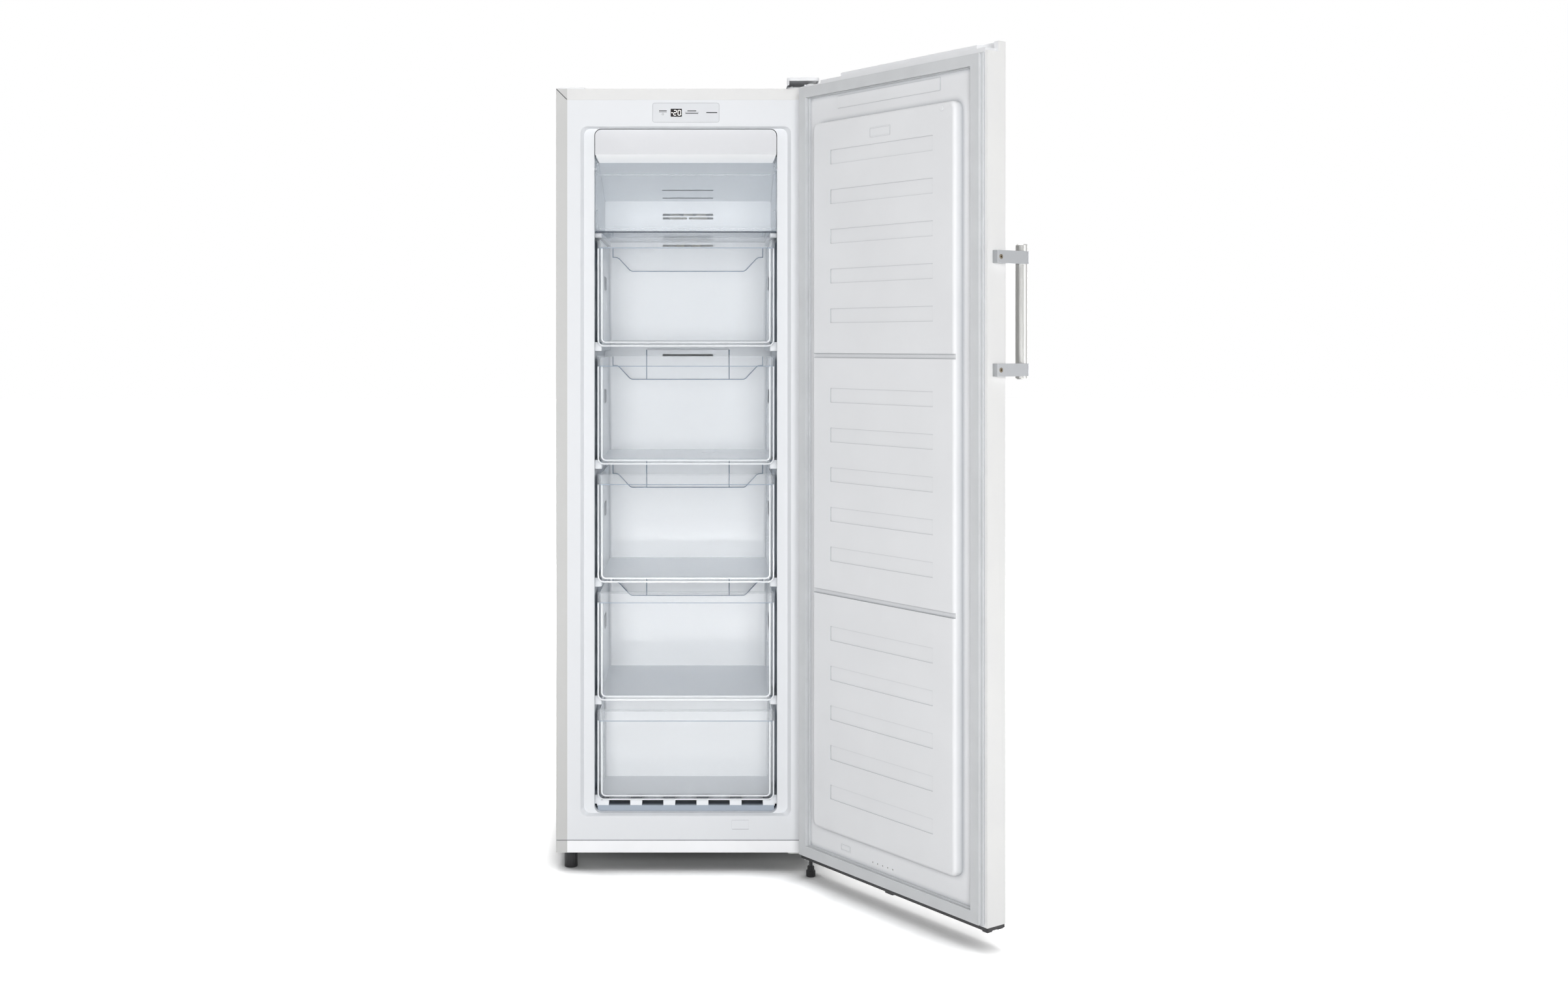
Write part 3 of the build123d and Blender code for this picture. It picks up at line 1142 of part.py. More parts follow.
def tub_solid(index, inset, low, high):
    """Tapered block of the tub, inset on every side."""
    depth = tub_depth(index) - 2 * inset
    y_mid = DRAWER_FACE + FRONT_T + tub_depth(index) / 2
    faces = []
    for z, draft in ((low, TUB_DRAFT), (high, 0.0)):
        wide = 2 * (TUB_HALF - inset - draft)
        faces.append(Pos(0, y_mid, z) * RectangleRounded(wide, depth, TUB_R - inset))
    return loft(faces, ruled=True)


def drawer_tub(index):
    """Clear tub: open above, cut down at the rear, ribbed floor, slots near the front."""
    low = tub_low(index)
    top = drawer_top(index) - TUB_TOP_DROP
    tub = tub_solid(index, 0.0, low, top) - tub_solid(index, TUB_WALL, low + TUB_WALL, top + 1)
    y0 = DRAWER_FACE + FRONT_T
    y1 = y0 + tub_depth(index)
    if index < DRAWERS - 1:
        corners = (
            (TUB_HALF - TUB_R - 1, top + 1),
            (TUB_HALF - TUB_R - 1, top - REAR_DROP),
            (TUB_HALF - CUT_INSET_TOP, top - REAR_DROP),
            (TUB_HALF - CUT_INSET_LOW, top - CUT_DEEP),
        )
        right = [(x, y1 - TUB_R, z) for x, z in corners]
        left = [(-x, y, z) for x, y, z in reversed(right)]
        cut = make_face(Polyline(*right, *left, close=True))
        bends = cut.vertices().filter_by(lambda v: abs(v.X) < TUB_HALF - TUB_R - 2)
        tub = tub - extrude(fillet(bends, CUT_R), amount=2 * TUB_R, dir=(0, 1, 0))
    count = int((tub_depth(index) - 2 * TUB_R) / FLOOR_RIB_PITCH)
    ribs = []
    for rib in range(count):
        y = y0 + TUB_R + FLOOR_RIB_PITCH * (rib + 0.5)
        half = TUB_HALF - TUB_DRAFT - TUB_R
        ribs.append(block(both(half), (y, y + FLOOR_RIB_W), (low + TUB_WALL - 0.5, low + TUB_WALL + FLOOR_RIB_H)))
    slots = []
    for slot in range(1 if index == DRAWERS - 1 else 2):
        z = top - SLOT_DROP - SLOT_PITCH * slot
        slots.append(block(both(HALF), (y0 + SLOT_SETBACK, y0 + SLOT_SETBACK + SLOT_W), (z, z + SLOT_H)))
    return tub + ribs - slots


# --- Door, drawn closed -----------------------------------------------------------------
def door_block(u, v, z):
    """Box in the door: u from the hinge edge, v outwards from the inner face."""
    return block((HALF - u[1], HALF - u[0]), (DOOR_BACK - v[1], DOOR_BACK - v[0]), z)


def door_shape(inset, z, lip):
    """The door's outside, inset for the sheet's thickness, with the raised lip on top."""
    u = (inset, WIDTH - inset)
    v = (0.0, DOOR_T - inset)
    body = door_block(u, v, z)
    raised = door_block((DOOR_LIP_START, u[1]), (DOOR_T - DOOR_LIP_T, v[1]), (z[1] - 5, lip))
    shape = body + raised
    radius = DOOR_BEND - inset
    front = shape.edges().filter_by(Axis.Z).group_by(Axis.Y)[0]
    keep = front.filter_by(lambda e: abs(abs(e.center().X) - HALF + inset) < 0.1)
    return fillet(keep, radius)


def door_skin():
    """Steel front folded round both edges and hemmed on to the inner face."""
    outer = door_shape(0.0, (DOOR_LOW, DOOR_HIGH), DOOR_LIP)
    inner = door_shape(SHEET, (DOOR_LOW - 1, DOOR_HIGH + 1), DOOR_LIP + 1)
    top = door_block((0, WIDTH - SHEET), (-1, DOOR_T - SHEET - DOOR_BEND), (DOOR_HIGH, DOOR_LIP + 9))
    inner = inner + door_block((SHEET, WIDTH - SHEET), (-1, 1), (DOOR_LOW - 1, DOOR_HIGH + 1))
    hems = [
        door_block((SHEET / 2, DOOR_HEM), (0, SHEET), (DOOR_LOW, DOOR_HIGH)),
        door_block((WIDTH - DOOR_HEM, WIDTH - SHEET / 2), (0, SHEET), (DOOR_LOW, DOOR_HIGH)),
    ]
    return outer - inner - top + hems


def door_cap_top():
    """Plastic top of the door with the raised lip and its scooped end."""
    z = (DOOR_HIGH - CAP_INSERT, DOOR_HIGH)
    gap = SHEET + TOUCH
    slab = door_block((gap, WIDTH - gap), (DOOR_LINER_T, DOOR_T - gap - DOOR_BEND), z)
    slab = slab + door_block((DOOR_BEND, WIDTH - DOOR_BEND), (DOOR_LINER_T, DOOR_T - gap), z)
    edge = door_block((DOOR_HEM + TOUCH, WIDTH - DOOR_HEM - TOUCH), (0, DOOR_LINER_T + 1), (DOOR_HIGH - DOOR_LINER_DROP, DOOR_HIGH))
    ledge_u = (LEDGE_START, WIDTH - DOOR_HEM - TOUCH)
    edge = edge + door_block(ledge_u, (0, DOOR_T - DOOR_LIP_T), (DOOR_HIGH - 1, DOOR_HIGH + LEDGE_H))
    lip_u = (DOOR_LIP_START, WIDTH - DOOR_BEND)
    lip = door_block(lip_u, (DOOR_T - DOOR_LIP_T, DOOR_T - gap), (DOOR_HIGH - 1, DOOR_LIP))
    lip = lip + door_block((DOOR_LIP_START, WIDTH - gap), (DOOR_T - DOOR_LIP_T, DOOR_T - gap - DOOR_BEND), (DOOR_HIGH - 1, DOOR_LIP))
    scoop = post(SCOOP_R, SCOOP_IN - HALF, DOOR_BACK - SCOOP_V, (DOOR_HIGH, DOOR_LIP + 1))
    bush = post(TOP_PIN_R + RUNNING + BUSH_WALL + TOUCH, PIVOT_X, PIVOT_Y, (z[0] - 20, z[1] + 1))
    return slab + edge + (lip - scoop) - bush


def door_cap_bottom():
    """Black plastic foot of the door, with its stop lugs underneath."""
    gap = SHEET + TOUCH
    foot = door_block((1, WIDTH - 1), (1, DOOR_T - 1), (DOOR_LOW - CAP_FOOT, DOOR_LOW - TOUCH))
    foot = fillet(foot.edges().filter_by(Axis.Z), 3)
    insert = door_block((DOOR_BEND, WIDTH - DOOR_BEND), (DOOR_LINER_T, DOOR_T - gap), (DOOR_LOW - 1, DOOR_LOW + CAP_INSERT))
    low = DOOR_LOW - CAP_FOOT
    lugs = [door_block((WIDTH - u[1], WIDTH - u[0]), v, (low - drop, low + 1)) for u, v, drop in STOP_LUGS]
    bush = post(LOW_PIN_R + RUNNING + BUSH_WALL + TOUCH, PIVOT_X, PIVOT_Y, (low - 9, DOOR_LOW + 40))
    return foot + insert + lugs - bush


def door_bushes():
    """Plastic sleeves that turn on the hinge pins."""
    radius = TOP_PIN_R + RUNNING
    z = (BODY_TOP - TOP_PIN_L - 4, DOOR_HIGH)
    upper = post(radius + BUSH_WALL, PIVOT_X, PIVOT_Y, z)
    upper = upper - post(radius, PIVOT_X, PIVOT_Y, (BODY_TOP - TOP_PIN_L - AIR, DOOR_HIGH + 1))
    radius = LOW_PIN_R + RUNNING
    z = (DOOR_LOW - CAP_FOOT, LOW_PIN_TOP + 4)
    lower = post(radius + BUSH_WALL, PIVOT_X, PIVOT_Y, z)
    lower = lower - post(radius, PIVOT_X, PIVOT_Y, (z[0] - 1, LOW_PIN_TOP + AIR))
    return Compound(children=[upper, lower])


def plug(inset, root):
    """Raised middle of the door's lining, crossed by two grooves."""
    z = (PLUG_LOW + inset, PLUG_HIGH - inset)
    body = panel(both(PLUG_HALF - inset), z, PLUG_CORNER - inset, (DOOR_BACK - root, DOOR_BACK + PLUG_H - inset))
    body = fillet(body.edges().group_by(Axis.Y)[-1], PLUG_ROUND - inset)
    deep = (DOOR_BACK + PLUG_H - inset - GROOVE_DEEP, DOOR_BACK + PLUG_H + 1)
    half_w = GROOVE_W / 2 + inset
    return body - [block(both(HALF), deep, (z_at - half_w, z_at + half_w)) for z_at in GROOVES]


def liner_marks():
    """Shallow strips, borders and small holes moulded into the door's lining."""
    face = DOOR_BACK + PLUG_H
    strips = []
    for section in range(SECTIONS):
        for index in range(STRIPS):
            top = PLUG_HIGH - STRIP_DROP - STRIP_SECTION * section - STRIP_PITCH * index
            strips.append(block(both(STRIP_HALF), (face - STRIP_DEEP, face + 1), (top - STRIP_H, top)))
    wide, high, drop = EMBLEM
    z = PLUG_HIGH - drop
    raised = [frame_plate(both(wide / 2), (z - high / 2, z + high / 2), FRAME_LINE, (face - 0.2, face + FRAME_RAISE))]
    bar_z = (DOOR_HIGH - BAR_DROP[0], DOOR_HIGH - BAR_DROP[1])
    raised.append(block(both(STRIP_HALF), (DOOR_BACK - 0.2, DOOR_BACK + BAR_RAISE), bar_z))
    wide, high, x, z = PLATE
    spot = ((x - wide / 2, x + wide / 2), (z - high / 2, z + high / 2))
    raised.append(frame_plate(*spot, FRAME_LINE, (DOOR_BACK - 0.2, DOOR_BACK + FRAME_RAISE)))
    bump = rod_y(BUMP_R, BUMP_INSET - PLUG_HALF, (face - 1.5, face + 1.0), PLUG_HIGH - BUMP_DROP)
    raised.append(fillet(bump.edges().filter_by(GeomType.CIRCLE).group_by(Axis.Y)[-1], 0.9))
    holes = [rod_y(HOLE_R, HALF / 20 + HOLE_PITCH * (index - 2), (DOOR_BACK - 9, DOOR_BACK + 1), HOLE_Z) for index in range(5)]
    return strips, raised, holes


def door_liner():
    """White inner lining of the door."""
    u = (DOOR_HEM + TOUCH, WIDTH - DOOR_HEM - TOUCH)
    sheet = door_block(u, (0, DOOR_LINER_T), (DOOR_LOW, DOOR_HIGH - DOOR_LINER_DROP))
    strips, raised, holes = liner_marks()
    return sheet + plug(0.0, 1.0) - plug(DOOR_LINER_T, DOOR_LINER_T + 1) - strips + raised - holes


def door_foam():
    """Foam that fills the door between the steel, the lining and the caps."""
    gap = SHEET + TOUCH
    z = (DOOR_LOW + CAP_INSERT, DOOR_HIGH - CAP_INSERT)
    foam = door_block((gap, WIDTH - gap), (DOOR_LINER_T, DOOR_T - gap - DOOR_BEND), z)
    foam = foam + door_block((DOOR_BEND, WIDTH - DOOR_BEND), (DOOR_LINER_T, DOOR_T - gap), z)
    fill = plug(DOOR_LINER_T + TOUCH, DOOR_LINER_T + 1)
    upper = post(TOP_PIN_R + RUNNING + BUSH_WALL + TOUCH, PIVOT_X, PIVOT_Y, (z[1] - 30, z[1] + 1))
    lower = post(LOW_PIN_R + RUNNING + BUSH_WALL + TOUCH, PIVOT_X, PIVOT_Y, (z[0] - 1, z[0] + 30))
    screws = [handle_screw_hole(z_at) for z_at in ARM_ZS]
    return foam + fill - [upper, lower] - screws


def door_gasket():
    """Magnetic seal: a base, bellows and a flat face, as one closed frame."""
    rings = []
    for start, end, inset in GASKET_LAYERS:
        x = both(HALF - GASKET_EDGE - inset)
        z = (GASKET_LOW + inset, DOOR_HIGH - GASKET_DROP - inset)
        width = GASKET_BASE - 2 * inset
        rings.append(frame_plate(x, z, width, (DOOR_BACK + start, DOOR_BACK + end)))
    return rings[0] + rings[1:]


# --- Handle, on the closed door ---------------------------------------------------------
def handle_bar():
    bar = post(BAR_R, HALF - BAR_U, DOOR_BACK - BAR_V, BAR_ENDS)
    return chamfer(bar.edges().filter_by(GeomType.CIRCLE), BAR_CHAMFER)


def handle_arm(z):
    """Flat arm screwed to the door's edge, its end wrapped round the bar."""
    centre = (HALF - BAR_U, DOOR_BACK - BAR_V)
    span = (z - ARM_H / 2, z + ARM_H / 2)
    outer = BAR_R + ARM_WRAP
    straight = door_block((WIDTH, BAR_U + outer), (ARM_START, BAR_V), span)
    straight = fillet(straight.edges().filter_by(Axis.Z).group_by(Axis.Y)[-1], 0.8)
    ring = post(outer, *centre, span)
    turn = math.radians(WRAP_ANGLE)
    corner = (centre[0] - 40 * math.cos(turn), centre[1] - 40 * math.sin(turn))
    wedge = Polyline((*centre, span[0]), (centre[0] - 40, centre[1], span[0]), (*corner, span[0]), close=True)
    wrap = ring & extrude(make_face(wedge), amount=ARM_H, dir=(0, 0, 1))
    seat = post(BAR_R, *centre, (span[0] - 1, span[1] + 1))
    socket = rod_x(HANDLE_SCREW_R + TOUCH, (-HALF - 99, -HALF - ARM_T + 3), DOOR_BACK - ARM_START - HANDLE_SCREW_IN, z)
    shank = rod_x(SHANK_R + TOUCH, (-HALF - 99, -HALF + 9), DOOR_BACK - ARM_START - HANDLE_SCREW_IN, z)
    return straight + wrap - seat - socket - shank


def handle_arms():
    return Compound(children=[handle_arm(z) for z in ARM_ZS])


def handle_screw_hole(z):
    y = DOOR_BACK - ARM_START - HANDLE_SCREW_IN
    return rod_x(SHANK_R + TOUCH, (-HALF - 1, -HALF + SHANK_L + 1), y, z)


def handle_screws():
    """Socket-head screws through the arms into the door's edge."""
    screws = []
    y = DOOR_BACK - ARM_START - HANDLE_SCREW_IN
    seat = -HALF - ARM_T + 3
    for z in ARM_ZS:
        head = rod_x(HANDLE_SCREW_R, (seat - 3.2, seat), y, z)
        head = chamfer(head.edges().filter_by(GeomType.CIRCLE).group_by(Axis.X)[0], 0.5)
        socket = Pos(seat - 3.3, y, z) * Rot(0, 90, 0) * extrude(RegularPolygon(SOCKET_R, 6), amount=2.2)
        screws.append(head + rod_x(SHANK_R, (seat - 0.5, -HALF + SHANK_L), y, z) - socket)
    return Compound(children=screws)


def opened(piece):
    """Turns a piece of the closed door about the hinge to where it stands open."""
    return Pos(PIVOT_X, PIVOT_Y, 0) * Rot(0, 0, DOOR_ANGLE) * Pos(-PIVOT_X, -PIVOT_Y, 0) * piece


def door_skin_drilled():
    return door_skin() - [handle_screw_hole(z) for z in ARM_ZS]


FIXED = {
    "outer_wrapper": outer_wrapper,
    "back_panel": back_panel,
    "bottom_panel": bottom_panel,
    "toe_strip": toe_strip,
    "inner_liner": inner_liner,
    "insulation_foam": insulation_foam,
    "condenser_coil": condenser_coil,
    "duct_cover": duct_cover,
    "header_panel": header_panel,
    "top_shelf": top_shelf,
    "evaporator": evaporator,
    "defrost_heater": defrost_heater,
    "fan_motor": fan_motor,
    "fan_blade": fan_blade,
    "compressor_tray": compressor_tray,
    "roller_axles": roller_axles,
    "roller_right": roller,
    "compressor": compressor,
    "compressor_grommets": compressor_grommets,
    "compressor_bolts": compressor_bolts,
    "relay_box": relay_box,
    "drip_tray": drip_tray,
    "filter_drier": filter_drier,
    "refrigerant_pipes": refrigerant_pipes,
    "drain_hose": drain_hose,
    "rear_cover": rear_cover,
    "cord_gland": cord_gland,
    "control_bezel": control_bezel,
    "display_window": display_window,
    "control_board": control_board,
    "hinge_top_plate": hinge_top_plate,
    "hinge_bottom_bracket": hinge_bottom_bracket,
    "hinge_pins": hinge_pins,
    "hinge_screws": hinge_screws,
    "hinge_top_cover": hinge_top_cover,
    "hinge_blank_cap": hinge_blank_cap,
    "foot_left": foot_left,
    "foot_right": foot_right,
    "flap": flap,
}

DOOR = {
    "door_skin": door_skin_drilled,
    "door_foam": door_foam,
    "door_liner": door_liner,
    "door_gasket": door_gasket,
    "door_cap_top": door_cap_top,
    "door_cap_bottom": door_cap_bottom,
    "door_bushes": door_bushes,
    "handle_bar": handle_bar,
    "handle_arms": handle_arms,
    "handle_screws": handle_screws,
}


def main():
    os.makedirs("parts", exist_ok=True)
    nodes = {name: make() for name, make in FIXED.items()}
    nodes["roller_left"] = mirrored(roller())
    for index in range(DRAWERS):
        nodes[f"drawer_{index + 1}_front"] = drawer_front(index)
        nodes[f"drawer_{index + 1}_tub"] = drawer_tub(index)
    nodes.update({name: opened(make()) for name, make in DOOR.items()})
    for name, shape in nodes.items():
        export_step(shape, f"parts/{name}.step")


main()
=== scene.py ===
import math

import bmesh
import bpy
from mathutils import Matrix, Vector


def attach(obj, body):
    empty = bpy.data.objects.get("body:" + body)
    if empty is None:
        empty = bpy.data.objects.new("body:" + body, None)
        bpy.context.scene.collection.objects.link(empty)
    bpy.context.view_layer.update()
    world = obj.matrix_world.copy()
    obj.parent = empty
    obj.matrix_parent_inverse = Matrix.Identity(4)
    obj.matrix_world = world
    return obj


# Looks of an upright freezer with five clear drawers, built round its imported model.
# Metres, +Z up. The origin is on the floor under the middle of the cabinet, whose front
# faces -Y. The door hangs on the +X side and stands open at rest.

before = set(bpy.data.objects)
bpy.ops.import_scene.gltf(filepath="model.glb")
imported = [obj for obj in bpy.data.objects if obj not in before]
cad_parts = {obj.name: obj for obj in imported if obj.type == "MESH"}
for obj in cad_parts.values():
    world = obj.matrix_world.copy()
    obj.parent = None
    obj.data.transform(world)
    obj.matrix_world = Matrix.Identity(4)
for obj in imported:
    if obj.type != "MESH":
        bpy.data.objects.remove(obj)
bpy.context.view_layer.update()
MM = 0.001
TO_Y = Matrix.Rotation(math.radians(90), 3, "X")  # lays a shape drawn round Z along Y

# --- Camera: level, with its lens shifted as in the photograph ---------------------------
PHOTO_PX = (2408, 1515)
FOCAL_PX = 2570
AXIS_PX = (1090, 527)  # the pixel straight ahead of the lens
CAMERA_PLACE = (0.0515, -3.832, 1.128)
SENSOR_MM = 36.0

# --- Control panel, millimetres ----------------------------------------------------------
DIGIT_Z = (1615.4, 1625.6)
DIGIT_X = (-25.6, -16.4)  # left strokes of the two figures
DIGIT_WIDTH = 5.8
DIGIT_STROKE = 1.3
DIGIT_GAP = 0.15  # left free at each end of a stroke
DIGIT_ROUND = 0.3
DIGIT_SHAPES = ("abged", "abcdef")  # the lit strokes of a two and of a nought
MINUS_X = (-30.6, -27.4)
DIGIT_Y = (-255.98, -255.7)
PRINT_Y = (-255.88, -255.7)
PANEL_BARS = (
    # limits along X, height of its middle, thickness
    ((-57.0, -40.4), 1624.6, 2.0),
    ((-57.0, -40.4), 1621.7, 0.6),
    ((3.6, 22.6), 1624.6, 2.0),
    ((-1.5, 28.0), 1621.7, 0.6),
    ((-0.5, 27.0), 1618.8, 1.6),
    ((44.0, 67.5), 1621.0, 2.2),
)
BAR_ROUND = 0.3  # share of a bar's thickness by which its corners are rounded
KEY_RING = (-48.7, 1617.6, 1.5)  # its middle along X and Z, and its inner radius
KEY_RING_OUT = 1.35  # outer radius over inner radius
PANEL_EDGE = ((-71.0, 72.0), (1599.6, 1642.0), (-255.25, -254.8), 5.0)  # X, Z, Y and corner radius

# --- Flange round the opening, millimetres -----------------------------------------------
THIN_ROUND = 0.3  # corner radius of the narrow joints and lines
MITRE = (265.3, 1660.3, 32.0, 1.6)  # its middle along X and Z, its length and width
MITRE_Y = (-255.15, -254.7)
TOE_JOINT = ((-276.0, 276.0), (66.0, 67.2), (-255.15, -254.6))  # X, Z and Y
FIELD_X = (97.8, 135.6)
FIELD_Z = (89.4, 109.6)
FIELD_RIM = 1.1
FIELD_RIM_Y = (-255.2, -254.6)
FIELD_FACE_Y = (-255.35, -254.6)
FIELD_ROUND = (1.6, 1.2)  # corner radii of its rim and its face

# --- Back, millimetres -------------------------------------------------------------------
BACK_FACE = 255.0
SCREW_HEAD = (4.0, 1.8)  # radius and height
SCREW_ROUND = 0.8
BACK_SCREWS = (
    # X, on both sides, and Z
    (262.0, 62.0), (262.0, 160.0), (262.0, 268.0), (130.0, 281.0), (0.0, 281.0),
    (268.0, 420.0), (268.0, 800.0), (268.0, 1180.0), (268.0, 1560.0), (150.0, 1655.0),
)

# --- Drawers and duct, millimetres -------------------------------------------------------
DRAWER_TOP = 1355.0  # of the first drawer
TUB_TOP = 1351.0
TUB_PITCH = 253.8
REAR_FACE = 100.6  # bead's middle, in front of the rear wall
BEAD_R = 1.1
CUT_PATH = (
    # right half of the cut in the rear wall: X and distance below the tub's top
    (176.0, -1.0), (176.0, -21.0), (166.0, -21.8), (161.0, -24.6), (136.4, -51.0),
    (131.0, -53.8), (0.0, -53.8),
)
SIDE_CUT_X = 184.6  # middle of the tub's side wall at that height
SIDE_CUT_Y = (-70.0, -26.0)
SIDE_CUT_Z = (-107.0, -77.5)  # below a drawer's top
GRIP_LINE_X = (-187.0, 187.0)
GRIP_LINE_Z = (-23.0, -21.6)  # below a drawer's top: its pull lip's lower edge
GRIP_LINE_Y = (-240.2, -239.6)
DUCT_EDGE_X = (90.0, 95.4)
DUCT_EDGE_Z = (346.0, 1113.0)
DUCT_EDGE_Y = (107.4, 108.4)
DUCT_EDGE_ROUND = 0.4
DUCT_LINE_X = (96.6, 98.6)
DUCT_LINE_Y = (116.6, 117.4)

# --- Studio ------------------------------------------------------------------------------
FLOOR_SIZE = 60.0
FLOOR_BOUNCE = 0.5
FLOOR_SEEN = 2.4  # what the lens sees of the floor burns out to white outside the shadows
FLOOR_FADE = (1.0, 2.4)  # distances between which the paper turns fully white for the lens
# Contact shadow: its reach, the shares of open sky at its darkest and its end, and the share
# of light that its darkest part keeps.
FLOOR_CONTACT = (0.14, 0.3, 0.92, 0.16)
SKY_LIGHT = 0.12
LAMPS = (
    # name, place, aimed at, width and height, watts
    ("front", (0.0, -5.7, 1.7), (0.0, 0.0, 0.8), (2.8, 2.6), 232),
    ("left", (-3.6, -3.4, 1.6), (0.0, 0.0, 0.8), (2.0, 2.4), 20),
    ("right", (3.6, -3.2, 1.6), (0.1, 0.0, 0.8), (1.6, 2.6), 24),
    ("overhead", (0.2, 0.35, 4.6), (0.1, 0.2, 0.0), (2.6, 2.2), 60),
    ("rear", (-1.0, 4.6, 2.6), (0.0, 0.0, 0.9), (2.6, 2.0), 60),
    ("left_rear", (-4.2, 2.8, 1.0), (0.0, 0.1, 0.9), (1.2, 1.6), 70),
    ("right_rear", (4.2, 2.8, 1.0), (0.0, 0.1, 0.9), (1.2, 1.6), 70),
)
HIDDEN_LAMPS = ("front", "left")  # their mirror images would veil the drawers
CLEAR_LAYERS = 32  # see-through surfaces that one line of sight may cross
CAVITY_BOUNCES = 8  # light that a white hollow passes on

# --- Finishes ----------------------------------------------------------------------------
CLOUD_SHARES = (0.3, 0.7)  # the part of a slow noise that spans both colours
SPANGLE_RELIEF = 0.02  # millimetres, as the next two
PIT_RELIEF = 0.6
FLOW_LINES = 120.0
FLOW_SHARES = (0.92, 1.08)  # how much the flow lines change what clear plastic holds back
# Where a finish changes its tone, in metres:
SIDE_SHADE_FADE = (0.2532, 0.2534)  # from here outwards the steel flange is a side strip, painted greyer than the top one as shade
STRIP_DEPTH = (-0.2538, -0.2535)  # and behind this depth the steel is no longer the flange
FLANGE_FADE = (-0.232, -0.240)  # the lining turns greyer from this depth forwards
LIP_LIGHT_FADE = (1.5338, 1.5328)  # below this height the header's lip is painted whiter: painted light
PLATFORM_Y = (-0.2256, -0.175)  # as far as the gaps under the drawers show the lining's platform
PLATFORM_TOP = 0.1334
PLATFORM_FADE = (0.003, 0.016)  # behind its front: here the painted shade turns from its pale to its dark tone
# Painted shade of the gaps under the drawers: its pale and its dark tone.
PLATFORM_SHADE_TONES = ("A3ACB7", "141D28")


# --- Shader helpers ----------------------------------------------------------------------
def srgb(code):
    """The linear colour of an sRGB hex code."""
    values = [int(code[at : at + 2], 16) / 255 for at in (0, 2, 4)]
    return [*(v / 12.92 if v <= 0.04045 else ((v + 0.055) / 1.055) ** 2.4 for v in values), 1.0]


def connect(tree, node, inputs):
    """Feeds each named socket from an output, or sets it to a value."""
    for name, value in inputs.items():
        if isinstance(value, bpy.types.NodeSocket):
            tree.links.new(value, node.inputs[name])
        else:
            node.inputs[name].default_value = value


def add_node(tree, kind, inputs, **settings):
    """Adds a node with its settings and links, and returns its outputs."""
    node = tree.nodes.new(kind)
    for name, value in settings.items():
        setattr(node, name, value)
    connect(tree, node, inputs)
    return node.outputs


def new_material(name, values):
    """A material, its node tree, its shader and the object's own coordinates."""
    material = bpy.data.materials.new(name)
    material.use_nodes = True
    tree = material.node_tree
    shader = tree.nodes["Principled BSDF"]
    connect(tree, shader, values)
    return material, tree, shader, add_node(tree, "ShaderNodeTexCoord", {})["Object"]


def mixed(tree, share, first, second):
    """Mixes two colours, each a hex code or an output, by a share, and returns the output."""
    ends = [srgb(end) if isinstance(end, str) else end for end in (first, second)]
    return add_node(tree, "ShaderNodeMix", {0: share, 6: ends[0], 7: ends[1]}, data_type="RGBA")[2]


def ranged(tree, value, limits, ends=(0.0, 1.0)):
    """Maps a value between two limits onto two ends, and returns the output."""
    inputs = {"Value": value, "From Min": limits[0], "From Max": limits[1]}
    return add_node(tree, "ShaderNodeMapRange", {**inputs, "To Min": ends[0], "To Max": ends[1]})[0]


def reckoned(tree, operation, *values):
    """The output of a sum, product or other operation on one or two values."""
    return add_node(tree, "ShaderNodeMath", dict(enumerate(values)), operation=operation)[0]


def own_axis(tree, axis):
    """The output for X, Y or Z in the object's own coordinates, in metres."""
    place = add_node(tree, "ShaderNodeTexCoord", {})["Object"]
    return add_node(tree, "ShaderNodeSeparateXYZ", {0: place})[axis]


def within(tree, value, limits):
    """1 where a value lies between two limits, and 0 elsewhere."""
    off_middle = reckoned(tree, "SUBTRACT", value, sum(limits) / 2)
    return reckoned(tree, "LESS_THAN", reckoned(tree, "ABSOLUTE", off_middle), (limits[1] - limits[0]) / 2)


def noise(tree, place, size, detail):
    """The output of a noise whose lumps have a size in metres."""
    return add_node(tree, "ShaderNodeTexNoise", {"Vector": place, "Scale": 1 / size, "Detail": detail})[0]


def seen_directly(tree):
    """1 for what the lens, a reflection or clear plastic shows, 0 for light on the object."""
    path = add_node(tree, "ShaderNodeLightPath", {})
    seen = reckoned(tree, "MAXIMUM", path["Is Camera Ray"], path["Is Glossy Ray"])
    return reckoned(tree, "MAXIMUM", seen, path["Is Transmission Ray"])


# --- Kinds of finish ---------------------------------------------------------------------
def grained(name, colours, grain, relief, roughness, cloud=90.0, gap_shade=None, values=None):
    """Moulded, painted or rubbery surface: a fine grain stands out of it, and colour and
    gloss drift slowly across it. gap_shade paints shade into gaps as narrow as its reach,
    towards its colour, between two shares of open sky; its last value is where it fades
    along Y, or None. Sizes in millimetres."""
    material, tree, shader, place = new_material(name, values or {})
    fine = noise(tree, place, grain * MM, 2.0)
    slow = noise(tree, place, cloud * MM, 3.0)
    colour = mixed(tree, ranged(tree, slow, CLOUD_SHARES), *colours)
    # Painted shade: darker towards the shade colour where nearby parts hide the open sky.
    if gap_shade:
        reach, shade, shares, fade = gap_shade
        open_share = add_node(tree, "ShaderNodeAmbientOcclusion", {"Distance": reach * MM}, samples=6)["AO"]
        depth = ranged(tree, open_share, shares)
        if fade:
            near = ranged(tree, own_axis(tree, "Y"), [end * MM for end in fade], (1.0, 0.0))
            depth = reckoned(tree, "MULTIPLY", depth, near)
        colour = mixed(tree, depth, colour, shade)
    gloss = ranged(tree, slow, (0.0, 1.0), roughness)
    bump = add_node(tree, "ShaderNodeBump", {"Height": fine, "Distance": relief * MM})[0]
    connect(tree, shader, {"Base Color": colour, "Roughness": gloss, "Normal": bump})
    return material


def tint_beyond(material, axis, limits, colour):
    """Mixes a colour into a finish along one axis, from none at the first limit to all of it
    at the second."""
    tree = material.node_tree
    shader = tree.nodes["Principled BSDF"]
    under = shader.inputs["Base Color"].links[0].from_socket
    share = ranged(tree, own_axis(tree, axis), limits)
    connect(tree, shader, {"Base Color": mixed(tree, share, under, colour)})


